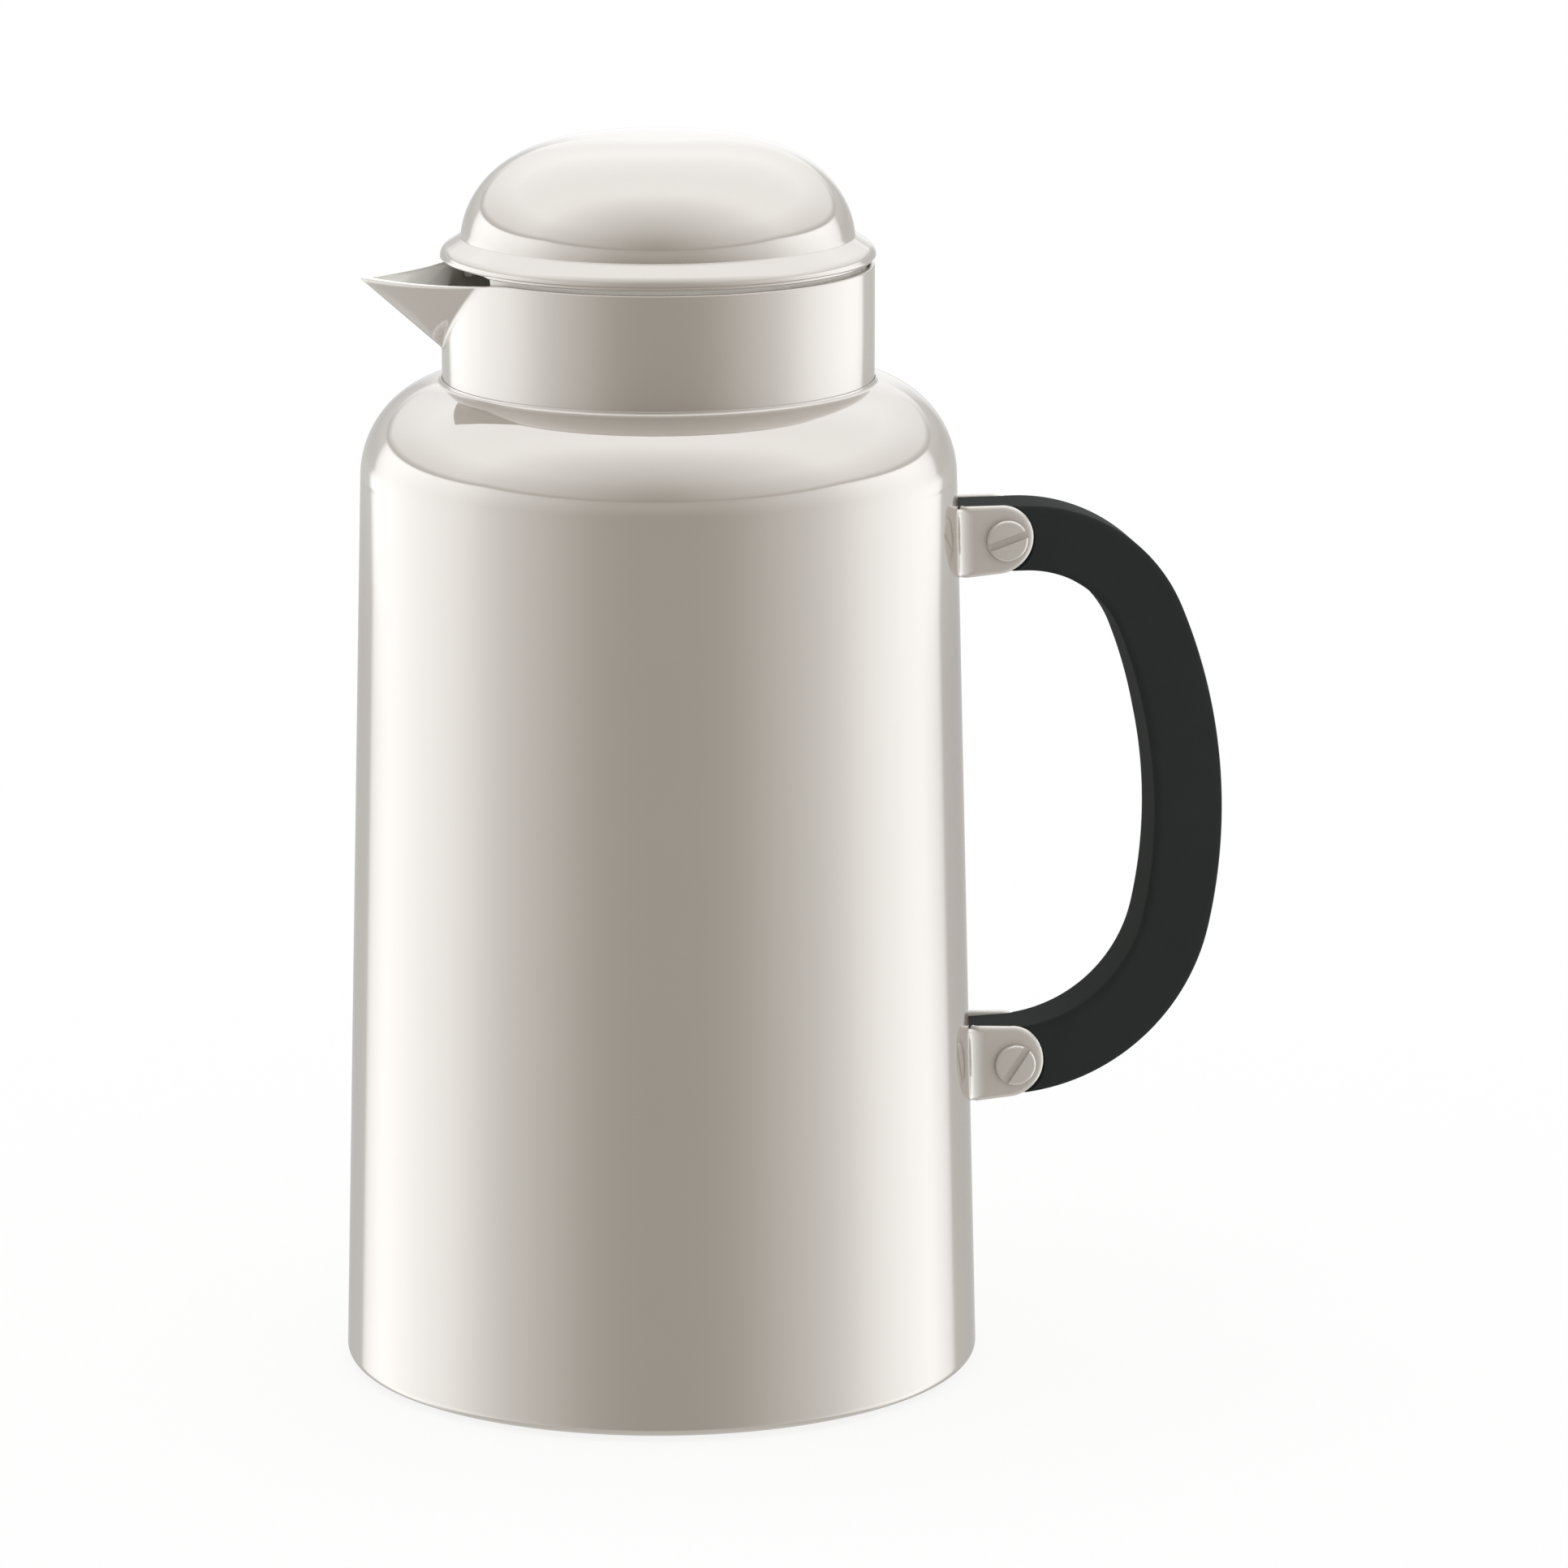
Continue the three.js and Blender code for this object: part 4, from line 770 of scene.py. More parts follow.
@dataclass
class SpoutCollar(Assembly):
    """The upright collar with its folded V spout and its flange under the shoulder."""

    radius: float = 45.0
    wall: float = 1.0
    rim: float = 234.6
    flange_radius: float = 49.0
    flange_low: float = 205.33
    spout_reach: float = 17.6
    spout_depth: float = 17.0
    spout_bulge: float = 1.0
    corner_fall: float = 0.7
    corner_run: float = math.radians(11.0)
    tip_drop: float = 1.45
    half_angle: float = math.radians(29.0)
    inner_rise: float = 1.64
    inner_fold_rise: float = 0.77
    rim_round: float = 0.4
    fold_round: float = 0.22
    ridge_round: float = 0.003
    bulge_power: float = 1.3
    least_rise: float = 0.02
    spout_limit: float = math.radians(45.0)
    hollow_rise: float = 3.72
    hollow_fall: float = 3.9
    fold_margin: float = 1.2
    flange_round: float = 0.3
    root_round: float = 0.4
    # Depths behind the outer face over which painted light comes in, lightening the collar's shaded inside.
    painted_light_edge: tuple[float, float] = (0.4, 0.7)
    rows: tuple[int, int] = (26, 22)
    row_powers: tuple[float, float] = (1.7, 1.5)

    @property
    def root(self) -> float:
        """Returns the level where the ridge leaves the collar."""
        return self.rim - self.spout_depth

    def facet_radius(self, angle: Array, level: Array) -> Array:
        """The radius of the spout's faces at an angle from its middle line and a level.

        At each level the face is the straight line from the ridge point, at a radius that grows evenly from
        the root to the tip, to the fold point on the collar, at an angle that grows evenly from the root to
        the rim. In polar form that line has the radius ridge y / (y cos a + (ridge - x) sin a), for the fold
        point (x, y). A bulge that grows with the level is added: sin(pi v^p), at the share v of the line
        from fold to ridge and with the bulge's power p.

        Args:
            angle: Angles from the middle line in radians.
            level: Levels in Z.

        Returns:
            The radii, and 0 below the root and away from the spout.
        """
        rise = np.maximum(level - self.root, self.least_rise)
        ridge = self.radius + self.spout_reach * rise / (self.spout_depth - self.tip_drop)
        fold = self.half_angle * rise / self.spout_depth
        x, y = self.radius * np.cos(fold), self.radius * np.sin(fold)
        turn = np.sqrt(angle ** 2 + self.ridge_round ** 2)
        reach = ridge * y / (y * np.cos(turn) + (ridge - x) * np.sin(turn))
        slope = np.tan(np.minimum(turn, 1.0))
        gap = np.maximum(y - x * slope, 0)
        share = gap / (gap + ridge * slope)
        bulge = np.sin(np.pi * share ** self.bulge_power)
        reach = reach + self.spout_bulge * rise / self.spout_depth * bulge
        return np.where((level > self.root) & (np.abs(angle) < self.spout_limit), reach, 0.0)

    def wall_radius(self, angle: Array, level: Array, base: float, rise: float) -> Array:
        """The collar's radius where the round wall passes into the spout.

        It is base + k ln(1 + e^((face - base) / k)), with the fold's rounding k.

        Args:
            angle: Angles from the spout's middle line.
            level: Levels in Z.
            base: The radius of the round wall.
            rise: How far the faces are raised.

        Returns:
            The radii.
        """
        excess = (self.facet_radius(angle, level - rise) - base) / self.fold_round
        return base + self.fold_round * np.logaddexp(0, excess)

    def rim_level(self, angle: Array) -> Array:
        """The level of the rim: flat round the collar, falling at the spout's corners and hollow to its tip.

        On the line from the corner (x, y) to the tip, the share v at angle a from the middle line satisfies
        tan a = (1 - v) y / ((1 - v) x + v tip). The rim falls to the corner like a parabola, and beyond it
        by fall + p v - q v² + c v³, with the hollow's rise p and fall q, where c brings it to the tip's drop.

        Args:
            angle: Angles from the spout's middle line.

        Returns:
            The levels.
        """
        slope = np.tan(np.minimum(np.abs(angle), self.half_angle))
        x, y = self.radius * math.cos(self.half_angle), self.radius * math.sin(self.half_angle)
        gap = y - x * slope
        share = gap / (gap + (self.radius + self.spout_reach) * slope)
        past = np.clip((np.abs(angle) - self.half_angle) / self.corner_run, 0, 1)
        rest = self.tip_drop - self.corner_fall - self.hollow_rise + self.hollow_fall
        hollow = self.hollow_rise * share - self.hollow_fall * share ** 2 + rest * share ** 3
        return self.rim - self.corner_fall * (1 - past) ** 2 - hollow

    def surface(self) -> Surface:
        """The collar as one grid: at each angle a section up the outside, over the rim and down the inside.

        Rows on the wall are split at the fold, so that the fold runs along a row. The rim is half an ellipse
        between the two walls.

        Returns:
            The closed surface.
        """
        angle = spout_angles()
        near = np.minimum(np.abs(angle), np.abs(angle - 2 * np.pi))
        top = self.rim_level(near) - self.rim_round
        fold = self.root + self.spout_depth * near / self.half_angle
        flange_top = self.flange_low + self.wall
        bore = self.radius - self.wall
        below = 1 - (1 - np.linspace(0, 1, self.rows[0])) ** self.row_powers[0]
        above = np.linspace(0, 1, self.rows[1])[1:] ** self.row_powers[1]

        def levels(start: float, lift: float) -> Array:
            """Returns the rows' levels at each angle, from a start to the rim, split at the fold."""
            split = np.minimum(fold + lift, top - self.fold_margin)
            low = start + (split - start) * below[:, None]
            high = split + (top - split) * above[:, None]
            return np.concatenate([low, high])

        edge, root = self.flange_round, self.root_round
        outer_z = levels(flange_top + root, 0.0)
        inner_z = levels(self.flange_low + edge, self.inner_fold_rise)[::-1]
        outer_r = self.wall_radius(near, outer_z, self.radius, 0.0)
        inner_r = self.wall_radius(near, inner_z, bore, self.inner_rise)
        turn = np.linspace(0, np.pi, 11)[1:-1, None]
        rim_r = (outer_r[-1] + inner_r[0]) / 2 + (outer_r[-1] - inner_r[0]) / 2 * np.cos(turn)
        rim_z = top + self.rim_round * np.sin(turn)
        low, far = self.flange_low, self.flange_radius
        foot = np.array([(bore + edge, low), (far - edge, low), (far, low + edge), (far, flange_top - edge),
                         (far - edge, flange_top), (self.radius + root, flange_top),
                         (self.radius + root / 4, flange_top + root / 4)])
        foot_r = np.broadcast_to(foot[:, :1], (len(foot), len(angle)))
        foot_z = np.broadcast_to(foot[:, 1:], (len(foot), len(angle)))
        radius = np.concatenate([outer_r, rim_r, inner_r, foot_r])
        level = np.concatenate([outer_z, rim_z, inner_z, foot_z])
        return Surface.around(-radius, level, angle, closed=True)

    def pieces(self) -> Iterator[Made]:
        """Makes the collar, its inside lightened behind the outer face: painted light that lifts the shade
        inside the spout.
        """
        piece = Workshop.piece("collar_with_spout", self.surface(), crease=55.0)
        points = Workshop.points(piece)
        angle = np.abs(np.arctan2(points[:, 1], -points[:, 0]))
        outer = self.wall_radius(angle, points[:, 2], self.radius, 0.0)
        # Painted light: points behind the outer face are lightened towards the pale colour, standing in for
        # light inside the spout.
        Workshop.paint_light(piece, smooth_step(*self.painted_light_edge, outer - np.hypot(points[:, 0], points[:, 1])))
        yield piece, Body.JUG, Slot.PAINT, "spout_collar"


@dataclass
class PourRing(Assembly):
    """The off-white dish inside the collar and the flask's silvered inner wall below it."""

    radius: float = 43.7
    dish_rim: float = 41.9
    top: float = 217.6
    throat: float = 26.5
    throat_top: float = 211.6
    boss_low: float = 208.0
    boss_radius: float = 32.1
    flange_radius: float = 48.4
    flange_top: float = 204.7
    wall: float = 1.8
    flask_radius: float = 47.2
    flask_neck_low: float = 193.4
    flask_top: float = 205.4
    flask_shoulder: float = 167.4
    flask_bottom_centre: float = 37.0
    flask_bottom: float = 19.8
    glass: float = 1.8
    lip_half: tuple[float, float] = (2.8, 0.85)
    neck_drop: float = 4.4

    def dish(self) -> Array:
        """The dish's section: rim, slope to the throat, boss, underside and flange."""
        slope = (self.top - self.throat_top) / (self.dish_rim - self.throat)
        boss_top = self.throat_top + slope * (self.boss_radius - self.throat) - self.wall
        under = self.flange_top - self.wall
        return section((self.radius, self.flange_top, 0.3), (self.radius, self.top, 0.5),
                       (self.dish_rim, self.top, 0.6), (self.throat, self.throat_top, 0.8),
                       (self.throat, self.boss_low, 0.4), (self.boss_radius, self.boss_low, 0.4),
                       (self.boss_radius, boss_top, 0.3), (self.dish_rim, self.top - self.wall, 0.3),
                       (self.dish_rim, under, 0.3), (self.flange_radius, under, 0.4),
                       (self.flange_radius, self.flange_top, 0.4))

    def flask(self) -> Array:
        """The flask wall's section: half-ellipse bottom, straight side, quarter-ellipse shoulder and neck.

        Returns:
            A line of points from the axis up the outside, over the rounded lip and down the inside.
        """
        half, rise = self.lip_half
        lip = arc((self.throat + half, self.flask_top - rise), self.lip_half, (0, np.pi), 12)
        low = self.flask_top - 2 * rise
        under = [(self.throat + self.glass, low), (self.throat + 2 * half, low)]
        return np.concatenate([self.flask_face(self.glass), under, lip, self.flask_face(0.0)[::-1]])

    def flask_face(self, depth: float) -> Array:
        """Returns one face of the flask wall from the axis to the neck, at a depth behind the inside."""
        radius, neck = self.flask_radius + depth, self.throat + depth
        drop = self.flask_bottom_centre - self.flask_bottom + depth
        bottom = arc((0, self.flask_bottom_centre), (radius, drop), (-np.pi / 2, 0), 28)
        rise = self.flask_neck_low - self.flask_shoulder - self.neck_drop + depth
        shoulder = arc((neck, self.flask_shoulder), (radius - neck, rise), (0, np.pi / 2), 24)
        return np.concatenate([bottom, shoulder])

    def pieces(self) -> Iterator[Made]:
        """Turns the dish and the flask's inner wall."""
        yield Workshop.piece("pour_dish", Surface.turned(self.dish(), 160)), Body.JUG, Slot.NECK, "pour_ring"
        flask = Surface.turned(self.flask(), 128, closed=False)
        yield Workshop.piece("flask_inside", flask, crease=50.0), Body.JUG, Slot.GLASS, "flask_inner_wall"


@dataclass
class JugBase(Assembly):
    """The black base cap with its key holes and the pad that the jug stands on."""

    pad_radius: float = 50.0
    pad_thickness: float = 2.2
    recess_radius: float = 50.3
    floor_low: float = 2.5
    floor_top: float = 5.0
    flange_radius: float = 59.7
    flange_low: float = 1.0
    flange_top: float = 2.0
    skirt_radius: float = 57.2
    skirt_wall: float = 3.0
    skirt_top: float = 14.0
    key_radius: float = 1.8
    key_offset: float = 53.75
    key_top: float = 3.5

    def pieces(self) -> Iterator[Made]:
        """Turns the cap from its section, drills its key holes and turns the pad."""
        inner = self.skirt_radius - self.skirt_wall
        cap = section((0, self.floor_low, 0), (self.recess_radius, self.floor_low, 0.2),
                      (self.recess_radius, self.flange_low, 0.3), (self.flange_radius, self.flange_low, 0.3),
                      (self.flange_radius, self.flange_top, 0.3), (self.skirt_radius, self.flange_top, 0.2),
                      (self.skirt_radius, self.skirt_top, 0.4), (inner, self.skirt_top, 0.4),
                      (inner, self.floor_top, 0.3), (0, self.floor_top, 0))
        piece = Workshop.piece("base_cap_turned", Surface.turned(cap, 160))
        hole = Surface.turned(box((0, -1), (self.key_radius, self.key_top)), 24, closed=False)
        holes = [hole.moved(Matrix.Translation((0, side * self.key_offset, 0))) for side in (-1, 1)]
        yield Workshop.cut(piece, holes), Body.JUG, Slot.BASE, "base_cap"
        pad = section((0, 0, 0), (self.pad_radius, 0, 0.6), (self.pad_radius, self.pad_thickness, 0.3),
                      (0, self.pad_thickness, 0))
        yield Workshop.piece("base_pad_moulded", Surface.turned(pad, 160)), Body.JUG, Slot.RUBBER, "base_pad"


@dataclass
class HandleClamp(Assembly):
    """One end of the handle: a U-shaped strap, a slotted screw on the near side and its nut opposite."""

    place: str
    shell: OuterShell
    level: float
    slot_angle: float
    screw_reach: float
    crown: tuple[float, float]
    plate: float = 1.4
    height: float = 14.6
    reach: float = 15.8
    half_width: float = 7.75
    bend: float = 2.0
    gap: float = 0.3
    edge: float = 1.0
    edge_depth: float = 0.65
    head_radius: float = 4.35
    head_height: float = 1.3
    shank_radius: float = 2.0
    slot_width: float = 1.6
    slot_depth: float = 1.0
    tilt: float = 0.06
    end_share: float = 0.985
    root_share: float = 1.01
    web_share: float = 0.85
    flare_run: float = 3.8
    flare_width: float = 2.1
    shell_lean: float = 0.0257
    shell_space_gap: float = 0.1
    web_space: float = 2.0
    # Share of painted light on the strap, screw and nut: a lightened colour that lifts the shade cast by the
    # black handle.
    painted_light_share: float = 0.23
    ear_points: int = 40
    flare_inset: float = 0.35
    flare_end: float = 1.4
    shank_length: float = 6.0
    head_dome: float = 0.12
    flare_bite: float = 0.05
    flare_sink: float = 0.4
    flare_tuck: float = 0.5
    overcut: float = 2.0
    cone_half: float = 20.0

    @property
    def shell_radius(self) -> float:
        """Returns the shell's radius at the clamp's level."""
        return self.shell.radius_at(self.level)

    @property
    def ear_end(self) -> float:
        """Returns the X of the ears' round ends."""
        return self.shell_radius + self.reach

    def lift(self, x: Array | float) -> Array | float:
        """Returns how far the tilted strap lies above the clamp's level at an X, nothing at the screw."""
        return self.tilt * (x - self.shell_radius - self.screw_reach)

    def strap_path(self) -> tuple[Array, Array, Array]:
        """The strap's outer face in plan: along one ear, round its bend, along the shell and back.

        The bend's centre lies one bend radius inside the ear's face and one bend radius off the shell, so the
        three runs are tangent.

        Returns:
            The distance along the face, the points of X and Y, and the unit directions into the strap.
        """
        shell = self.shell_radius + self.gap
        side = self.half_width - self.bend
        centre = math.sqrt((shell + self.bend) ** 2 - side ** 2)
        lean = math.asin(side / (shell + self.bend))
        count = self.ear_points
        run = np.linspace(self.ear_end, centre, count)
        ear = np.column_stack([run, np.full(count, -self.half_width), np.zeros(count), np.ones(count)])
        turn = np.linspace(-np.pi / 2, -np.pi - lean, 14)[1:]
        out = np.stack([np.cos(turn), np.sin(turn)], axis=-1)
        corner = np.column_stack([(centre, -side) + self.bend * out, -out])
        turn = np.linspace(-lean, 0, 8)[1:]
        out = np.stack([np.cos(turn), np.sin(turn)], axis=-1)
        web = np.column_stack([shell * out, out])
        half = np.concatenate([ear, corner, web])
        whole = np.concatenate([half, half[-2::-1] * (1, -1, 1, -1)])
        along = np.concatenate([[0], np.cumsum(np.linalg.norm(np.diff(whole[:, :2], axis=0), axis=1))])
        return along, whole[:, :2], whole[:, 2:]

    def strap(self) -> Surface:
        """The strap: a long round-ended outline, inset in steps for its soft edges, bent along its path.

        In the flat, the outline inset by i is two straight sides at a width of R - i and two half circles of
        that radius. Each level has its inset and its depth in the plate, and the point at distance s, width w
        and depth t lands at path(s) + t into(s), at w times a share of s above the clamp's level. The share
        grows along each ear towards the shell and is smaller on the web, and the ears rise away from it. The
        upper half stands higher by the crown, which is given at the ears' ends and at the shell.

        Returns:
            The closed surface.
        """
        along, path, into = self.strap_path()
        radius, length = self.height / 2, along[-1]
        straight = along[(along > radius) & (along < length - radius)]
        turn = np.linspace(np.pi / 2, np.pi * 3 / 2, 33)
        shift = np.concatenate([np.full(33, radius), straight, np.full(33, length - radius), straight[::-1]])
        lean = np.concatenate([np.cos(turn), 0 * straight, -np.cos(turn), 0 * straight])
        rise = np.concatenate([np.sin(turn), 0 * straight - 1, -np.sin(turn), 0 * straight + 1])
        quarter = np.linspace(0, np.pi / 2, 6)
        soft_inset, soft_depth = self.edge * (1 - np.sin(quarter)), self.edge_depth * (1 - np.cos(quarter))
        flat = np.array([radius, 0.75 * radius, 0.5 * radius, 0.25 * radius, self.edge + 0.3])
        inset = np.concatenate([flat, soft_inset, soft_inset[::-1], flat[::-1]])
        depth = np.concatenate([0 * flat, soft_depth, self.plate - soft_depth[::-1], 0 * flat + self.plate])
        width = (radius - inset)[:, None]
        s = shift + width * lean
        base = np.stack([np.interp(s, along, path[:, k]) for k in range(2)], axis=-1)
        inward = np.stack([np.interp(s, along, into[:, k]) for k in range(2)], axis=-1)
        plan = base + inward * depth[:, None, None]
        last = self.ear_points - 1
        marks = [radius, along[last], along[last + 12], along[last + 15]]
        marks = marks + [length - mark for mark in marks[::-1]]
        shares = [self.end_share, self.root_share, self.root_share, self.web_share]
        crowns = [self.crown[0], self.crown[1], self.crown[1], 0.0]
        share, crown = (np.interp(s, marks, half + half[::-1]) for half in (shares, crowns))
        share = share + crown / radius * (rise > 0)
        height = self.level + width * rise * share + self.lift(plan[..., 0])
        return Surface.grid(np.concatenate([plan, height[..., None]], axis=-1))

    def flare(self, side: Side) -> Surface:
        """The filled joint between an ear's face and the shell, hollow like the inside of an ellipse.

        Its section runs from the ear at one run off the shell to the shell at one width off the ear, along
        x = ear - run sin t, y = ear + width (1 - cos t), and is closed inside the strap and the shell. It is
        carried up the ear, and shrinks to nothing at both ends like a quarter circle.

        Args:
            side: The side of the ear.

        Returns:
            The closed surface.
        """
        half = self.height / 2 * self.root_share - self.flare_inset
        rise = half * np.sin(np.linspace(-np.pi / 2, np.pi / 2, 41))
        past = np.maximum(np.abs(rise) - half + self.flare_end, 0) / self.flare_end
        size = np.sqrt(np.clip(1 - past ** 2, 0.0004, 1))[:, None]
        rise = rise * (1 + self.crown[1] / half * (rise > 0))
        shell = self.shell_radius - self.shell_lean * rise[:, None]
        turn = np.linspace(0, np.pi / 2, 17)
        out = self.half_width + self.flare_width * size * (1 - np.cos(turn))
        root = np.sqrt(shell ** 2 - (self.half_width + self.flare_width * size) ** 2) - self.flare_bite
        start = root + self.flare_run * size
        bow = start - self.flare_run * size * np.sin(turn)
        deep = root - self.flare_sink
        x = np.concatenate([start, bow, deep, deep], axis=1)
        inside = np.full_like(start, self.half_width - self.flare_tuck)
        y = side.value * np.concatenate([inside, out, out[:, -1:], inside], axis=1)
        rows = np.stack([x, y, self.level + rise[:, None] + self.lift(x)], axis=-1)
        ends = [np.broadcast_to(row.mean(axis=0), (1, *row.shape)) for row in (rows[0], rows[-1])]
        return Surface.grid(np.concatenate([ends[0], rows, ends[1]]))

    def fastener(self, side: Side) -> bpy.types.Object:
        """Makes the screw or the nut: a turned, gently domed head on a shank, with a slot across it.

        Args:
            side: The side that its head shows on.

        Returns:
            The object.
        """
        under = self.half_width + self.gap
        top = under + self.head_height
        low = under - self.shank_length
        outline = section((0, low, 0), (self.shank_radius, low, 0.3), (self.shank_radius, under, 0),
                          (self.head_radius, under, 0.12), (self.head_radius, top - self.head_dome, 0.55),
                          (0, top, 0), steps=7, margin=0.12)
        name = f"{self.place}_{'screw' if side is Side.NEAR else 'nut'}_slotted"
        place = (Matrix.Translation((self.shell_radius + self.screw_reach, 0, self.level))
                 @ Matrix.Rotation(-side.value * np.pi / 2, 4, "X"))
        head = Workshop.piece(name, Surface.turned(outline, 96).moved(place))
        long, half = self.head_radius + self.overcut, self.slot_width / 2
        slot = Surface.prism(box((-long, -half), (long, half)), top - self.slot_depth, top + self.overcut)
        turn = Matrix.Rotation(self.slot_angle, 4, "Z")
        return Workshop.cut(head, [slot.moved(place @ turn)])

    def rabbet(self, side: Side, depth: float) -> Surface:
        """The round-ended space that an ear takes out of the handle's tang.

        Args:
            side: The side of the ear.
            depth: The distance of its floor from the middle plane.

        Returns:
            The closed surface.
        """
        radius = self.height / 2 + self.gap
        end = arc((self.ear_end - self.height / 2, self.level), (radius, radius), (-np.pi / 2, np.pi / 2), 40)
        start = self.shell_radius - self.overcut
        end[:, 1] += self.crown[0] * np.maximum(end[:, 1] - self.level, 0) / radius
        top = self.level + radius + self.crown[1]
        outline = np.concatenate([[(start, self.level - radius)], end, [(start, top)]])
        stand = Matrix.Rotation(np.pi / 2, 4, "X")
        low, high = sorted((-side.value * depth, -side.value * (self.half_width + self.overcut + 1)))
        return Surface.prism(outline, low, high).moved(stand)

    def web_recess(self) -> Surface:
        """Returns the space for the strap's web that is taken out of the end of the handle's tang."""
        start, end = self.shell_radius - self.overcut, self.shell_radius + self.web_space
        half = self.height / 2 * self.web_share + self.gap
        level = self.level + self.lift(self.shell_radius)
        outline = box((start, level - half), (end, level + half))
        stand = Matrix.Rotation(np.pi / 2, 4, "X")
        reach = self.half_width + self.overcut
        return Surface.prism(outline, -reach, reach).moved(stand)

    def shell_space(self) -> Surface:
        """Returns the shell's cone, a hair wider, which the end of the handle's tang is shaped to."""
        rise = np.array([-self.cone_half, self.cone_half])
        radius = self.shell_radius + self.shell_space_gap - self.shell_lean * rise
        level = self.level + rise
        profile = [(0, level[0]), (radius[0], level[0]), (radius[1], level[1]), (0, level[1])]
        return Surface.turned(np.array(profile), 512, closed=False)

    def pieces(self) -> Iterator[Made]:
        """Makes the strap with its two flares, the screw and the nut, each lightened by painted light."""
        surface = self.strap().joined(self.flare(Side.NEAR), self.flare(Side.FAR))
        parts = {"bracket": Workshop.piece(f"{self.place}_strap", surface, crease=60.0),
                 "screw": self.fastener(Side.NEAR), "nut": self.fastener(Side.FAR)}
        for part, piece in parts.items():
            # Painted light: the strap, screw and nut are lightened against the shade by the handle.
            Workshop.paint_light(piece, self.painted_light_share)
            yield piece, Body.JUG, Slot.PAINT, f"{self.place}_{part}"


@dataclass
class Handle(Assembly):
    """The black D-shaped bar, thinned under the ears of its two clamps."""

    clamps: tuple[HandleClamp, HandleClamp]
    width: float = 13.8
    thickness: float = 15.5
    edge: float = 1.6
    reach: float = 112.9
    sag: float = 3.85
    grip_radius: float = 108.4
    upper_bend: float = 29.8
    lower_bend: float = 37.8
    tang_start: float = -1.2
    inner_growth: tuple[tuple[float, float], ...] = (
        (0.0, 0.0), (0.15, 0.0), (0.42, 0.9), (0.93, 0.68), (1.0, 0.3))
    tang_half: float = 6.05

    def middle_line(self) -> tuple[Array, Array]:
        """The bar's middle line: an arm, a bend, the bowed grip, a bend and an arm, all tangent.

        The bends lie inside the grip's circle, so their centres are the grip's radius less their own from its
        centre, at the arms' levels less or plus their own radius.

        Returns:
            The points of X and Z, and the unit directions across the line, away from the jug.
        """
        upper, lower = (clamp.level for clamp in self.clamps)
        middle = (upper + lower) / 2 - self.sag
        grip_x = self.reach - self.grip_radius

        def bend(radius: float, level: float) -> tuple[float, float]:
            """Returns a bend's centre X and the angle at which it meets the grip."""
            gap = self.grip_radius - radius
            angle = math.asin((level - middle) / gap)
            return grip_x + gap * math.cos(angle), angle

        upper_z, lower_z = upper - self.upper_bend, lower + self.lower_bend
        upper_x, upper_turn = bend(self.upper_bend, upper_z)
        lower_x, lower_turn = bend(self.lower_bend, lower_z)
        turns = [(np.linspace(np.pi / 2, upper_turn, 33), upper_x, upper_z, self.upper_bend),
                 (np.linspace(upper_turn, lower_turn, 65)[1:], grip_x, middle, self.grip_radius),
                 (np.linspace(lower_turn, -np.pi / 2, 33)[1:], lower_x, lower_z, self.lower_bend)]
        across = np.concatenate([np.stack([np.cos(t), np.sin(t)], axis=-1) for t, *_ in turns])
        line = np.concatenate([np.stack([x + r * np.cos(t), z + r * np.sin(t)], axis=-1)
                               for t, x, z, r in turns])
        start = [clamp.shell_radius + self.tang_start for clamp in self.clamps]
        arm_in = np.column_stack([np.linspace(start[0], line[0, 0], 12)[:-1], np.full(11, upper)])
        arm_out = np.column_stack([np.linspace(line[-1, 0], start[1], 12)[1:], np.full(11, lower)])
        up = np.broadcast_to((0.0, 1.0), (11, 2))
        return np.concatenate([arm_in, line, arm_out]), np.concatenate([up, across, -up])

    def bar(self) -> Surface:
        """The bar: a rounded rectangle carried along the middle line, p across it and q along Y.

        Each point is line(s) + p across(s) in the plane of the handle and q out of it. The inner half is
        deeper by a growth along the line. The end rows shrink to the line, which closes the bar.

        Returns:
            The closed surface.
        """
        line, across = self.middle_line()
        half_p, half_q = self.width / 2, self.thickness / 2
        section_line = supported(rounded(box((-half_p, -half_q), (half_p, half_q)), self.edge, 8), 0.5)
        rows = np.concatenate([[0], np.arange(len(line)), [len(line) - 1]])
        size = np.ones(len(rows))
        size[[0, -1]] = 0
        growth = np.interp(rows / (len(line) - 1), *zip(*self.inner_growth))[:, None]
        inner = section_line[:, 0] < 0
        p = size[:, None] * section_line[None, :, 0] * (1 + growth / half_p * inner)
        q = size[:, None] * section_line[None, :, 1]
        plane = line[rows][:, None] + p[..., None] * across[rows][:, None]
        return Surface.grid(np.stack([plane[..., 0], q, plane[..., 1]], axis=-1))

    def pieces(self) -> Iterator[Made]:
        """Makes the bar, cut back under the ears, over the webs and along the shell."""
        piece = Workshop.piece("grip_bar", self.bar())
        cutters = [clamp.rabbet(side, self.tang_half) for clamp in self.clamps for side in Side]
        cutters += [space for clamp in self.clamps for space in (clamp.web_recess(), clamp.shell_space())]
        Workshop.cut(piece, cutters)
        piece.visible_glossy = False
        yield piece, Body.JUG, Slot.HANDLE, "handle"


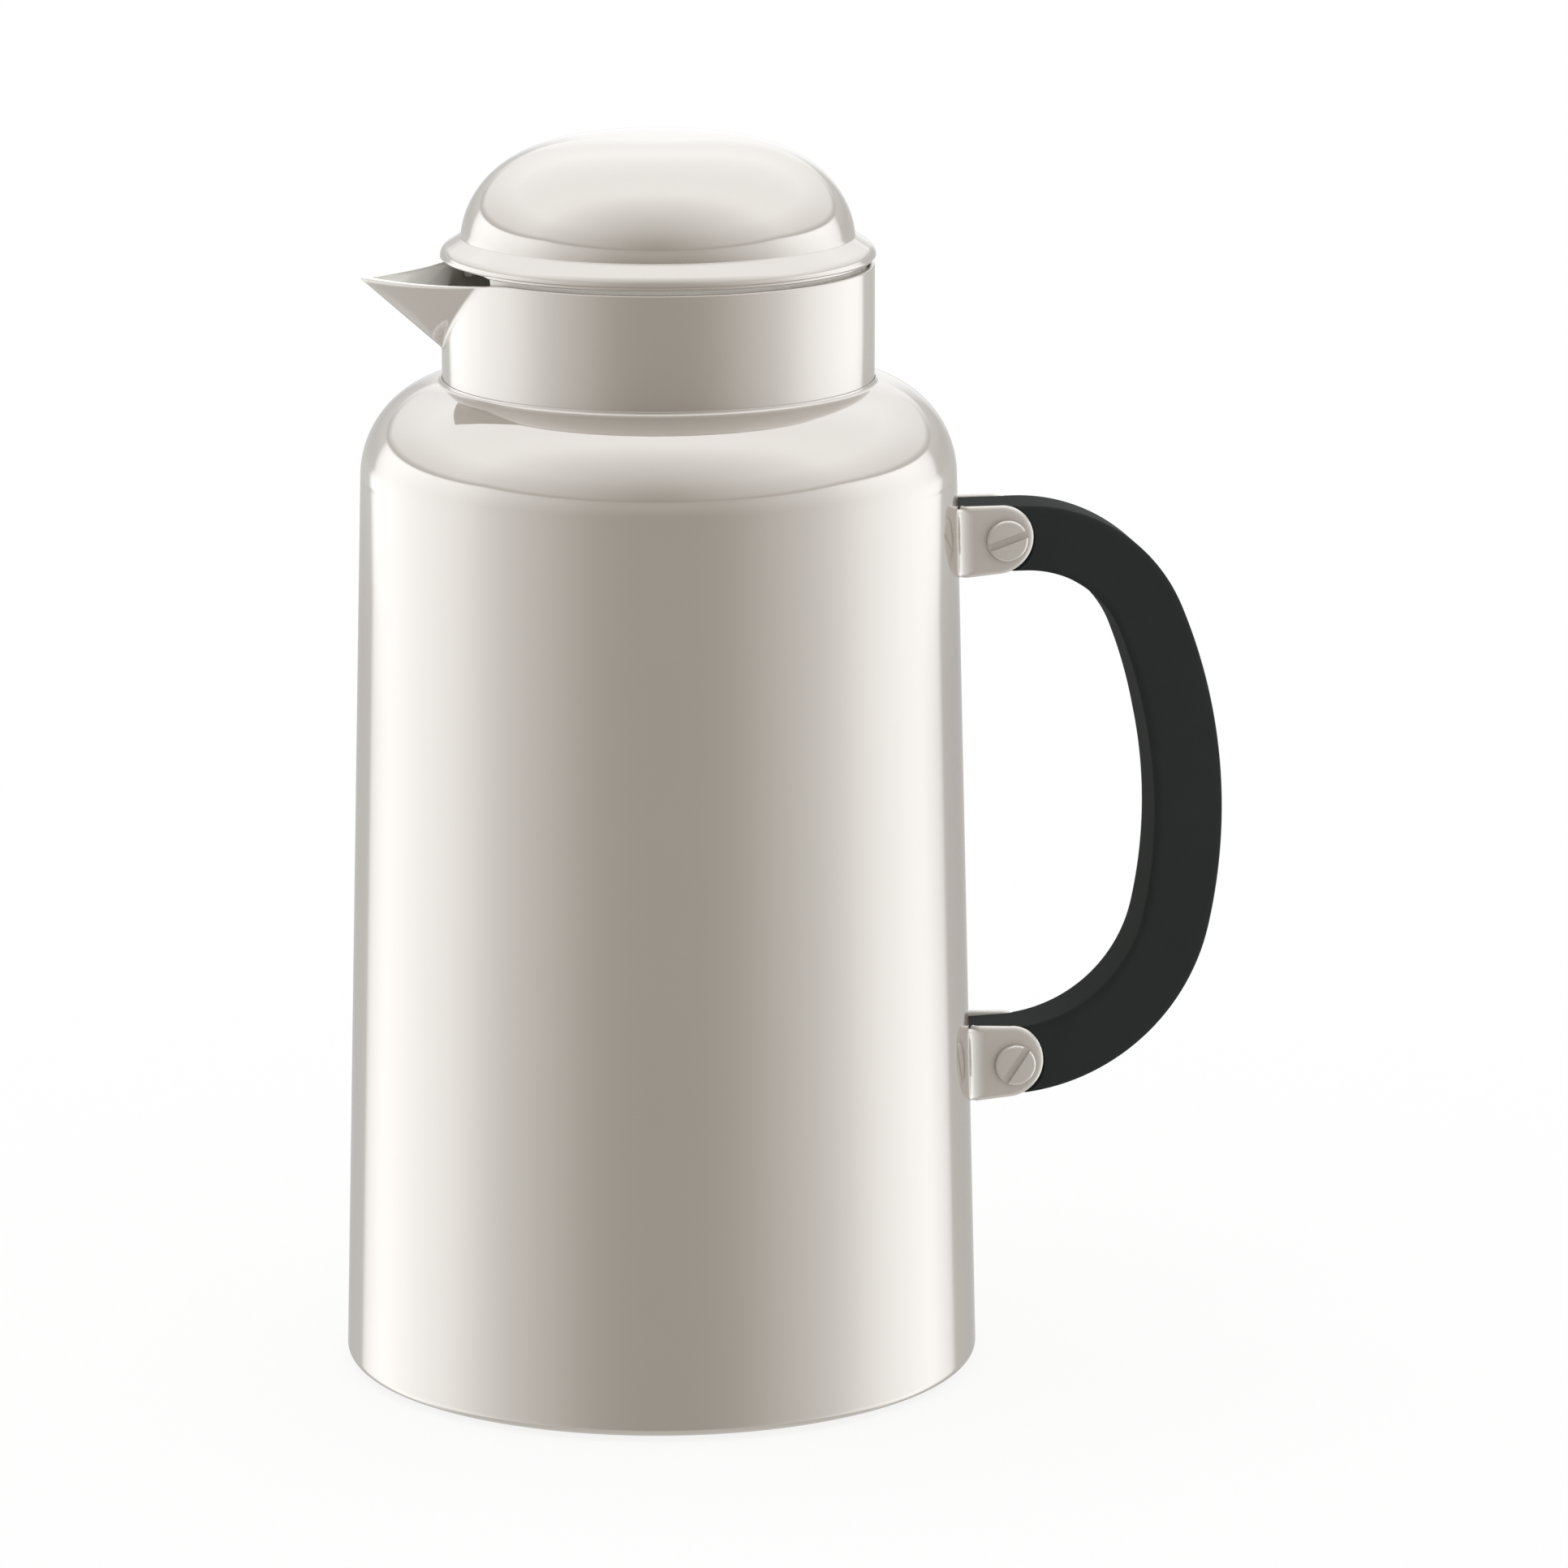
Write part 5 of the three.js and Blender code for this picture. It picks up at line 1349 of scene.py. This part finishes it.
@dataclass
class Lid(Assembly):
    """The domed lid: a painted shell over an off-white insert with a skirt, a hub and a stem."""

    low: float = 235.4
    radius: float = 45.2
    band_inset: float = 0.6
    flange_edge: float = 236.3
    flange_slope: float = math.radians(58.0)
    flange_share: float = 0.9
    dome_start: float = 0.085
    dome_radius: float = 41.0
    dome_base: float = 238.8
    dome_height: float = 22.4
    dome_powers: tuple[float, float] = (3.15, 1.94)
    wall: float = 1.0
    notch_height: float = 0.4
    notch_half: float = math.radians(29.0)
    insert_top: float = 237.3
    insert_low: float = 235.4
    insert_radius: float = 43.3
    skirt_inner: float = 41.6
    skirt_low: float = 229.4
    hub_radius: float = 9.0
    hub_low: float = 231.1
    stem_radius: float = 4.0
    stem_low: float = 227.0
    sector_radius: float = 17.0
    sector_low: float = 229.3
    sector_half: float = math.radians(82.5)
    sector_sink: float = 0.9
    sector_overlap: float = 1.8
    cove_rise: float = 0.6
    low_bevel: float = 0.2
    inside_start: float = 0.14
    band_ramp: float = math.radians(3.0)
    skirt_ramp: float = math.radians(0.8)

    def dome(self, inset: float, start: float, steps: int) -> Array:
        """The dome's superellipse at an inset: r = R cos(t)^(2/m), z = base + H sin(t)^(2/n)."""
        turn = np.linspace(start, np.pi / 2, steps + 1)
        m, n = self.dome_powers
        r = (self.dome_radius - inset) * np.maximum(np.cos(turn), 0) ** (2 / m)
        z = self.dome_base + (self.dome_height - inset) * np.sin(turn) ** (2 / n)
        r[-1] = 0
        return np.stack([r, z], axis=-1)

    def shell_profile(self) -> Array:
        """The shell's section: the band, the flange, the dome to the axis and the inside back down.

        The flange is an S from its upright edge to the foot of the dome, w further in and h higher up: an arc
        that turns by f, a straight slope and an arc that turns back. The radii of the two arcs add up to
        (h sin f - w cos f) / (1 - cos f).

        Returns:
            An open line from the axis round the inside and the band to the axis.
        """
        upright = self.radius - self.band_inset
        bevel = self.low_bevel
        cove = arc((self.radius, self.flange_edge - self.cove_rise), (self.band_inset, self.cove_rise),
                   (np.pi, np.pi / 2), 6)
        band = np.concatenate([[(upright - bevel, self.low), (upright, self.low + bevel)], cove[:-1]])
        dome = self.dome(0.0, self.dome_start, 110)
        width, height = self.radius - dome[0, 0], dome[0, 1] - self.flange_edge
        turn = self.flange_slope
        total = (height * math.sin(turn) - width * math.cos(turn)) / (1 - math.cos(turn))
        convex, hollow = total * self.flange_share, total * (1 - self.flange_share)
        bead = arc((self.radius - convex, self.flange_edge), (convex,) * 2, (0, turn), 20)
        rise = arc((dome[0, 0] + hollow, dome[0, 1]), (hollow,) * 2, (np.pi + turn, np.pi), 24)
        inside = self.dome(self.wall, self.inside_start, 40)[::-1]
        inner = self.radius - self.band_inset - self.wall
        under = [(inner, self.flange_edge), (inner, self.low + bevel), (inner + bevel, self.low)]
        return np.concatenate([inside, under, band, bead, rise[:-1], dome])

    def notch_share(self, angle: Array, width: float) -> Array:
        """Returns 1 inside the notch above the spout and 0 outside it, over a ramp of a width in radians."""
        near = np.minimum(np.abs(angle), np.abs(angle - 2 * np.pi))
        return 1 - smooth_step(self.notch_half - width / 2, self.notch_half + width / 2, near)

    def shell(self) -> Surface:
        """The shell turned about Z, its band drawn up in the notch.

        Below the flange's edge a point's distance from that edge shrinks by the notch's share of the band.

        Returns:
            The closed surface.
        """
        profile = self.shell_profile()
        angle = spout_angles()
        notch = self.notch_share(angle, self.band_ramp)
        shrink = self.notch_height / (self.flange_edge - self.low) * notch
        fall = np.minimum(profile[:, 1] - self.flange_edge, 0)[:, None]
        return Surface.around(-profile[:, :1], profile[:, 1:] - fall * shrink, angle, closed=False)

    def insert(self) -> Surface:
        """The insert turned about Z, its skirt drawn up in the notch, with the stop sector below its plate.

        Returns:
            The closed surface.
        """
        profile = section((0, self.insert_top, 0), (self.insert_radius, self.insert_top, 0.2),
                          (self.insert_radius, self.skirt_low, 0.4), (self.skirt_inner, self.skirt_low, 0.4),
                          (self.skirt_inner, self.insert_low, 0.5), (self.hub_radius, self.insert_low, 0.5),
                          (self.hub_radius, self.hub_low, 0.4), (self.stem_radius, self.hub_low, 0.2),
                          (self.stem_radius, self.stem_low, 0.3), (0, self.stem_low, 0))
        radius, height = profile[:, :1], profile[:, 1:]
        angle = spout_angles()
        rim = smooth_step(self.skirt_inner - 0.05, self.skirt_inner, radius)
        low = np.minimum(height, self.insert_low - 0.5) - (self.insert_low - 0.5)
        raised = self.low + self.notch_height + low * 0.02
        share = self.notch_share(angle, self.skirt_ramp) * rim * (height < self.insert_low - 0.4)
        plate = Surface.around(-radius, height * (1 - share) + raised * share, angle, closed=False)
        turn = np.pi + np.linspace(-self.sector_half, self.sector_half, 40)
        ring = np.stack([np.cos(turn), np.sin(turn)], axis=-1)
        inner = self.hub_radius - self.sector_overlap
        return plate.joined(self.sector_plate(self.sector_radius * ring, inner * ring))

    def sector_plate(self, outer: Array, inner: Array) -> Surface:
        """The stop sector: its outer and inner curves joined across its top and bottom, row by row.

        The rows are the inner and outer curve at the low level and then the outer and inner curve at the
        high level, and the two ends are closed by rows that fall on their middle.

        Args:
            outer: The points of the outer curve.
            inner: As many points of the inner curve, in the same direction.

        Returns:
            The closed surface.
        """
        half = len(outer)
        high = self.insert_low + self.sector_sink
        rows = [(inner, self.sector_low), (outer, self.sector_low), (outer, high), (inner, high)]
        ring = np.stack([np.column_stack([flat, np.full(half, z)]) for flat, z in rows], axis=1)
        ends = [np.broadcast_to(part.mean(axis=0), (1, 4, 3)) for part in (ring[0], ring[-1])]
        return Surface.grid(np.concatenate([ends[0], ring, ends[1]]))

    def pieces(self) -> Iterator[Made]:
        """Makes the shell and the insert."""
        yield Workshop.piece("lid_dome", self.shell(), crease=50.0), Body.LID, Slot.PAINT, "lid_shell"
        insert = Workshop.piece("lid_insert_moulded", self.insert(), crease=35.0)
        yield insert, Body.LID, Slot.NECK, "lid_insert"


@dataclass
class Closure(Assembly):
    """The stopper in the flask's mouth, its lip seal and the sleeve inside it that opens the pour window."""

    radius: float = 24.5
    wall: float = 1.6
    low: float = 189.4
    top: float = 229.0
    plate: float = 2.0
    mouth: float = 26.5
    seat_radius: float = 31.0
    seat_low: float = 211.9
    seat_edge: float = 213.65
    seat_top: float = 215.15
    rib: float = 1.1
    rib_height: float = 1.0
    seal_low: float = 195.9
    seal_top: float = 200.9
    seal_lip: float = 26.2
    stem_hole: float = 4.3
    window_half: float = 13.0
    window_low: float = 215.95
    window_top: float = 223.9
    sleeve_radius: float = 22.6
    sleeve_wall: float = 1.5
    sleeve_low: float = 190.4
    sleeve_top: float = 226.7
    sleeve_plate: float = 2.0
    lug_inner: float = 11.0
    lug_outer: float = 15.5
    lug_height: float = 2.4
    lug_half: float = math.radians(6.0)
    seal_gap: float = 0.3
    seal_foot: float = 0.9
    screw_hole: float = 2.0
    window_round: float = 1.0
    window_start: float = 14.0
    window_overcut: float = 3.0
    lug_round: float = 0.5
    lug_root: float = 1.0

    def stopper(self) -> Array:
        """The stopper's section: a cup with its mouth down, two ribs round the seal and a conical seat."""
        bore, rib = self.radius - self.wall, self.radius + self.rib
        lower, upper = self.seal_low - self.seal_gap, self.seal_top + self.seal_gap
        under = self.top - self.plate
        return section((bore, self.low, 0.4), (self.radius, self.low, 0.4),
                       (self.radius, lower - self.rib_height, 0.2), (rib, lower - self.rib_height, 0.3),
                       (rib, lower, 0.3), (self.radius, lower, 0.2), (self.radius, upper, 0.2),
                       (rib, upper, 0.3), (rib, upper + self.rib_height, 0.3),
                       (self.radius, upper + self.rib_height, 0.2), (self.radius, self.seat_low, 0.3),
                       (self.mouth, self.seat_low, 0.4), (self.seat_radius, self.seat_edge, 0.4),
                       (self.seat_radius, self.seat_top, 0.4), (self.radius, self.seat_top, 0.4),
                       (self.radius, self.top, 0.8), (self.stem_hole, self.top, 0.3),
                       (self.stem_hole, under, 0.2), (bore, under, 0.6))

    def seal(self) -> Array:
        """The lip seal's section: a wedge round the stopper."""
        inner, middle = self.radius + self.seal_gap, (self.seal_low + self.seal_top) / 2
        foot = inner + self.seal_foot
        corners = [(inner, self.seal_low), (foot, self.seal_low), (self.seal_lip, middle),
                   (foot, self.seal_top), (inner, self.seal_top)]
        return rounded(np.array(corners), np.array([0.2, 0.3, 0.35, 0.3, 0.2]))

    def sleeve(self) -> Array:
        """The sleeve's section: a cup with its mouth down and a hole for the screw."""
        bore, under = self.sleeve_radius - self.sleeve_wall, self.sleeve_top - self.sleeve_plate
        return section((bore, self.sleeve_low, 0.4), (self.sleeve_radius, self.sleeve_low, 0.4),
                       (self.sleeve_radius, self.sleeve_top, 0.4), (self.screw_hole, self.sleeve_top, 0.2),
                       (self.screw_hole, under, 0.2), (bore, under, 0.6))

    def window(self) -> Surface:
        """Returns the box that opens the pour window on the spout's side, with rounded corners."""
        corners = box((-self.window_half, self.window_low), (self.window_half, self.window_top))
        lay = Matrix(((0, 0, -1, 0), (1, 0, 0, 0), (0, 1, 0, 0), (0, 0, 0, 1)))
        outline = rounded(corners, self.window_round, 6)
        return Surface.prism(outline, self.window_start, self.radius + self.window_overcut).moved(lay)

    def lug(self) -> Surface:
        """Returns the stop lug on the stopper's top, a rounded block across the sector's path."""
        side = self.lug_outer * math.sin(self.lug_half)
        corners = box((self.lug_inner, -side), (self.lug_outer, side))
        outline = rounded(corners, self.lug_round)
        return Surface.prism(outline, self.top - self.lug_root, self.top + self.lug_height)

    def pieces(self) -> Iterator[Made]:
        """Turns the stopper, the seal and the sleeve, and cuts the two windows."""
        stopper = Workshop.piece("stopper_cup", Surface.turned(self.stopper(), 128).joined(self.lug()))
        yield Workshop.cut(stopper, [self.window()]), Body.STOPPER, Slot.NECK, "stopper"
        seal = Workshop.piece("stopper_lip_seal", Surface.turned(self.seal(), 128))
        yield seal, Body.STOPPER, Slot.SILICONE, "stopper_seal"
        sleeve = Workshop.piece("valve_sleeve_turned", Surface.turned(self.sleeve(), 128))
        yield Workshop.cut(sleeve, [self.window()]), Body.LID, Slot.NECK, "valve_sleeve"


# The studio


@dataclass
class Studio:
    """A pale floor, soft panels at both sides and overhead, and the camera in the gap between them.

    The panels are a function of direction in the world, so they light every side evenly and show only in
    reflections. The gloss sees two side panels that grow brighter away from the camera, an overhead panel
    above them, and the dark seam between the two. The ramps are in degrees.
    """

    camera_place: tuple[float, float, float] = (-243.35, -1564.54, 476.7)
    camera_aim: tuple[float, float, float] = (0.1659, 0.9619, -0.2176)
    lens: float = 176.98
    sensor: float = 36.0
    side_turn: Ramp = Ramp((85.0, 125.0), (2.8, -2.6))
    side_swap: Ramp = Ramp((-0.15, 0.15), (1.0, -1.0))
    side_levels: tuple[tuple[float, float], ...] = (
        (0, 0.06), (12, 0.1), (20, 0.22), (30, 0.54), (40, 1.02), (50, 1.5), (60, 2.03), (70, 2.72),
        (80, 3.5), (90, 4.0), (100, 4.2), (110, 4.25), (120, 4.0), (126, 3.65), (132, 3.15), (135.9, 2.6),
        (138.8, 1.75), (141.3, 1.1), (147, 0.93), (155, 0.8), (163, 0.74), (170, 0.74), (180, 0.8))
    back_start: Ramp = Ramp((112.0, 130.0))
    back_end: Ramp = Ramp((155.0, 172.0), (1.0, 0.0))
    step_low: Ramp = Ramp((-10.3, -9.3), (0.0, 5.0))
    step_high: Ramp = Ramp((-6.0, -2.0), (1.0, 0.0))
    foot_dim: Ramp = Ramp((-11.0, -9.8), (0.15, 0.0))
    foot_start: Ramp = Ramp((120.0, 135.0))
    side_haze: Ramp = Ramp((100.0, 140.0), (0.5, 0.42))
    side_haze_rise: Ramp = Ramp((2.0, 14.0))
    back_haze: Ramp = Ramp((168.0, 176.0), (0.0, 0.6))
    back_haze_rise: Ramp = Ramp((-6.0, 0.0))
    floor_glow: float = 1.1
    floor_edge: Ramp = Ramp((-50.0, -36.0), (1.0, 0.0))
    seam: Ramp = Ramp((75.0, 140.0), (18.5, 10.0))
    seam_edge: Ramp = Ramp((-0.8, 0.8), soft=True)
    top_level: Ramp = Ramp((4.0, 76.0), (0.0, 4.1))
    top_fade: Ramp = Ramp((85.0, 155.0), (1.0, 0.55))
    top_start: Ramp = Ramp((1.2, 4.0), (0.36, 0.72))
    top_growth: Ramp = Ramp((4.0, 22.0), (0.0, 0.28))
    top_back: Ramp = Ramp((150.0, 170.0), (0.36, 0.78))
    floor_size: float = 30000.0
    floor_shade: float = 0.2
    floor_drop: float = 0.02

    def camera(self) -> None:
        """Stands the camera where the photograph was taken."""
        data = bpy.data.cameras.new("photo_camera")
        data.sensor_fit = "AUTO"
        data.sensor_width = self.sensor
        data.lens = self.lens
        data.clip_start, data.clip_end = 0.01, 100.0
        camera = bpy.data.objects.new("photo_camera", data)
        bpy.context.scene.collection.objects.link(camera)
        turn = Vector(self.camera_aim).to_track_quat("-Z", "Y").to_matrix().to_4x4()
        camera.matrix_world = Matrix.Translation(Vector(self.camera_place) * MM) @ turn
        bpy.context.scene.camera = camera

    def floor(self) -> None:
        """Lays the pale floor: mostly a glow of its own, with a share of plain white that takes shadow."""
        half = self.floor_size / 2
        ends = np.linspace(-half, half, 3)
        x, y = np.meshgrid(ends, ends)
        points = np.stack([x, y, np.full_like(x, -self.floor_drop)], axis=-1)
        piece = Workshop.piece("studio_floor", Surface.grid(points, round_columns=False))
        material = bpy.data.materials.new("pale_floor")
        material.use_nodes = True
        shader = material.node_tree.nodes["Principled BSDF"]
        shader.inputs["Base Color"].default_value = (*(self.floor_shade,) * 3, 1.0)
        shader.inputs["Roughness"].default_value = 1.0
        shader.inputs["Specular IOR Level"].default_value = 0.0
        shader.inputs["Emission Color"].default_value = (1.0, 1.0, 1.0, 1.0)
        shader.inputs["Emission Strength"].default_value = 1.0 - self.floor_shade
        piece.data.materials.append(material)
        piece.visible_glossy = False

    def world(self) -> None:
        """Builds the world: white for the camera, even for matt surfaces, panels for reflections."""
        world = bpy.data.worlds.new("soft_studio")
        bpy.context.scene.world = world
        world.use_nodes = True
        world.cycles.sampling_method = "NONE"
        sketch = NodeSketch(world.node_tree)
        light = world.node_tree.nodes["Background"]
        ray = sketch.add("ShaderNodeLightPath").outputs
        mirror = sketch.math("MAXIMUM", ray["Is Glossy Ray"], ray["Is Transmission Ray"])
        shown = sketch.product(mirror, sketch.math("SUBTRACT", 1.0, ray["Is Camera Ray"]))
        sketch.feed(light.inputs["Color"], (1.0, 1.0, 1.0, 1.0))
        sketch.feed(light.inputs["Strength"], sketch.blend(shown, 1.0, self.panels(sketch)))

    def panels(self, sketch: NodeSketch) -> Socket:
        """The brightness that a reflection sees, by the angle from the camera, the azimuth and the elevation.

        Below the seam it follows the azimuth: dark at the camera, brightest at the panels' middle, dark past
        their back edge, which steps forward in a low band. A haze lightens it above the level. Above the
        seam it grows with the angle from the camera and with the height over the seam, and fades behind. Far
        below, the floor's glow takes over.

        Args:
            sketch: The world's nodes.

        Returns:
            The brightness.
        """
        towards = -Vector(self.camera_aim)
        level = Vector((towards.x, towards.y, 0)).normalized()
        degrees = 180 / math.pi
        ray = sketch.add("ShaderNodeTexCoord").outputs["Generated"]
        off = sketch.math("ARCCOSINE", sketch.vector("DOT_PRODUCT", ray, tuple(towards.normalized())))
        off = sketch.product(off, degrees)
        parts = sketch.add("ShaderNodeSeparateXYZ")
        sketch.feed(parts.inputs[0], ray)
        rise = sketch.product(sketch.math("ARCSINE", parts.outputs["Z"]), degrees)
        level_ray = sketch.vector("NORMALIZE", sketch.vector("MULTIPLY", ray, (1.0, 1.0, 0.0)))
        around = sketch.math("ARCCOSINE", sketch.vector("DOT_PRODUCT", level_ray, tuple(level)))
        around = sketch.product(around, degrees)
        right = sketch.vector("DOT_PRODUCT", level_ray, (-level.y, level.x, 0.0))
        turn = sketch.product(sketch.ramp(around, self.side_turn), sketch.ramp(right, self.side_swap))
        around = sketch.math("ADD", around, turn)
        back = sketch.product(sketch.ramp(around, self.back_start), sketch.ramp(around, self.back_end))
        step = sketch.product(sketch.ramp(rise, self.step_low), sketch.ramp(rise, self.step_high))
        around = sketch.math("SUBTRACT", around, sketch.product(back, step))
        most = max(strength for _, strength in self.side_levels)
        steps = tuple((angle / 180, strength / most) for angle, strength in self.side_levels)
        side = sketch.product(sketch.curve(sketch.math("DIVIDE", around, 180.0), steps), most)
        dim = sketch.product(sketch.ramp(rise, self.foot_dim), sketch.ramp(around, self.foot_start))
        side = sketch.product(side, sketch.math("SUBTRACT", 1.0, dim))
        haze = sketch.math("ADD", sketch.product(sketch.ramp(around, self.side_haze),
                                                 sketch.ramp(rise, self.side_haze_rise)),
                           sketch.product(sketch.ramp(around, self.back_haze),
                                          sketch.ramp(rise, self.back_haze_rise)))
        side = sketch.math("ADD", side, haze)
        side = sketch.blend(sketch.ramp(rise, self.floor_edge), side, self.floor_glow)
        above = sketch.math("SUBTRACT", rise, sketch.ramp(around, self.seam))
        growth = sketch.math("ADD", sketch.ramp(above, self.top_start), sketch.ramp(above, self.top_growth))
        growth = sketch.math("MAXIMUM", growth, sketch.ramp(around, self.top_back))
        top = sketch.product(sketch.ramp(off, self.top_level), sketch.ramp(off, self.top_fade))
        return sketch.blend(sketch.ramp(above, self.seam_edge), side, sketch.product(top, growth))

    def build(self) -> None:
        """Sets the plain view transform and builds the camera, the floor and the world."""
        bpy.context.scene.view_settings.view_transform = "Standard"
        self.camera()
        self.floor()
        self.world()


def main() -> None:
    """Builds the studio and the jug's sub-assemblies in order."""
    logging.basicConfig(level=logging.INFO, format="%(name)s: %(message)s")
    Studio().build()
    dresser = Dresser()
    shell = OuterShell()
    clamps = (HandleClamp("upper", shell, level=175.08, slot_angle=math.radians(19.0), screw_reach=9.95,
                          crown=(0.18, 0.4)),
              HandleClamp("lower", shell, level=61.58, slot_angle=math.radians(56.0), screw_reach=9.5,
                          crown=(1.05, 1.6)))
    assemblies = [shell, SpoutCollar(), PourRing(), JugBase(), *clamps, Handle(clamps), Lid(), Closure()]
    replaced = {node for assembly in assemblies for node in assembly.build(dresser)}
    dresser.carry_over(replaced)
    bpy.context.view_layer.update()


if __name__ == "__main__":
    main()
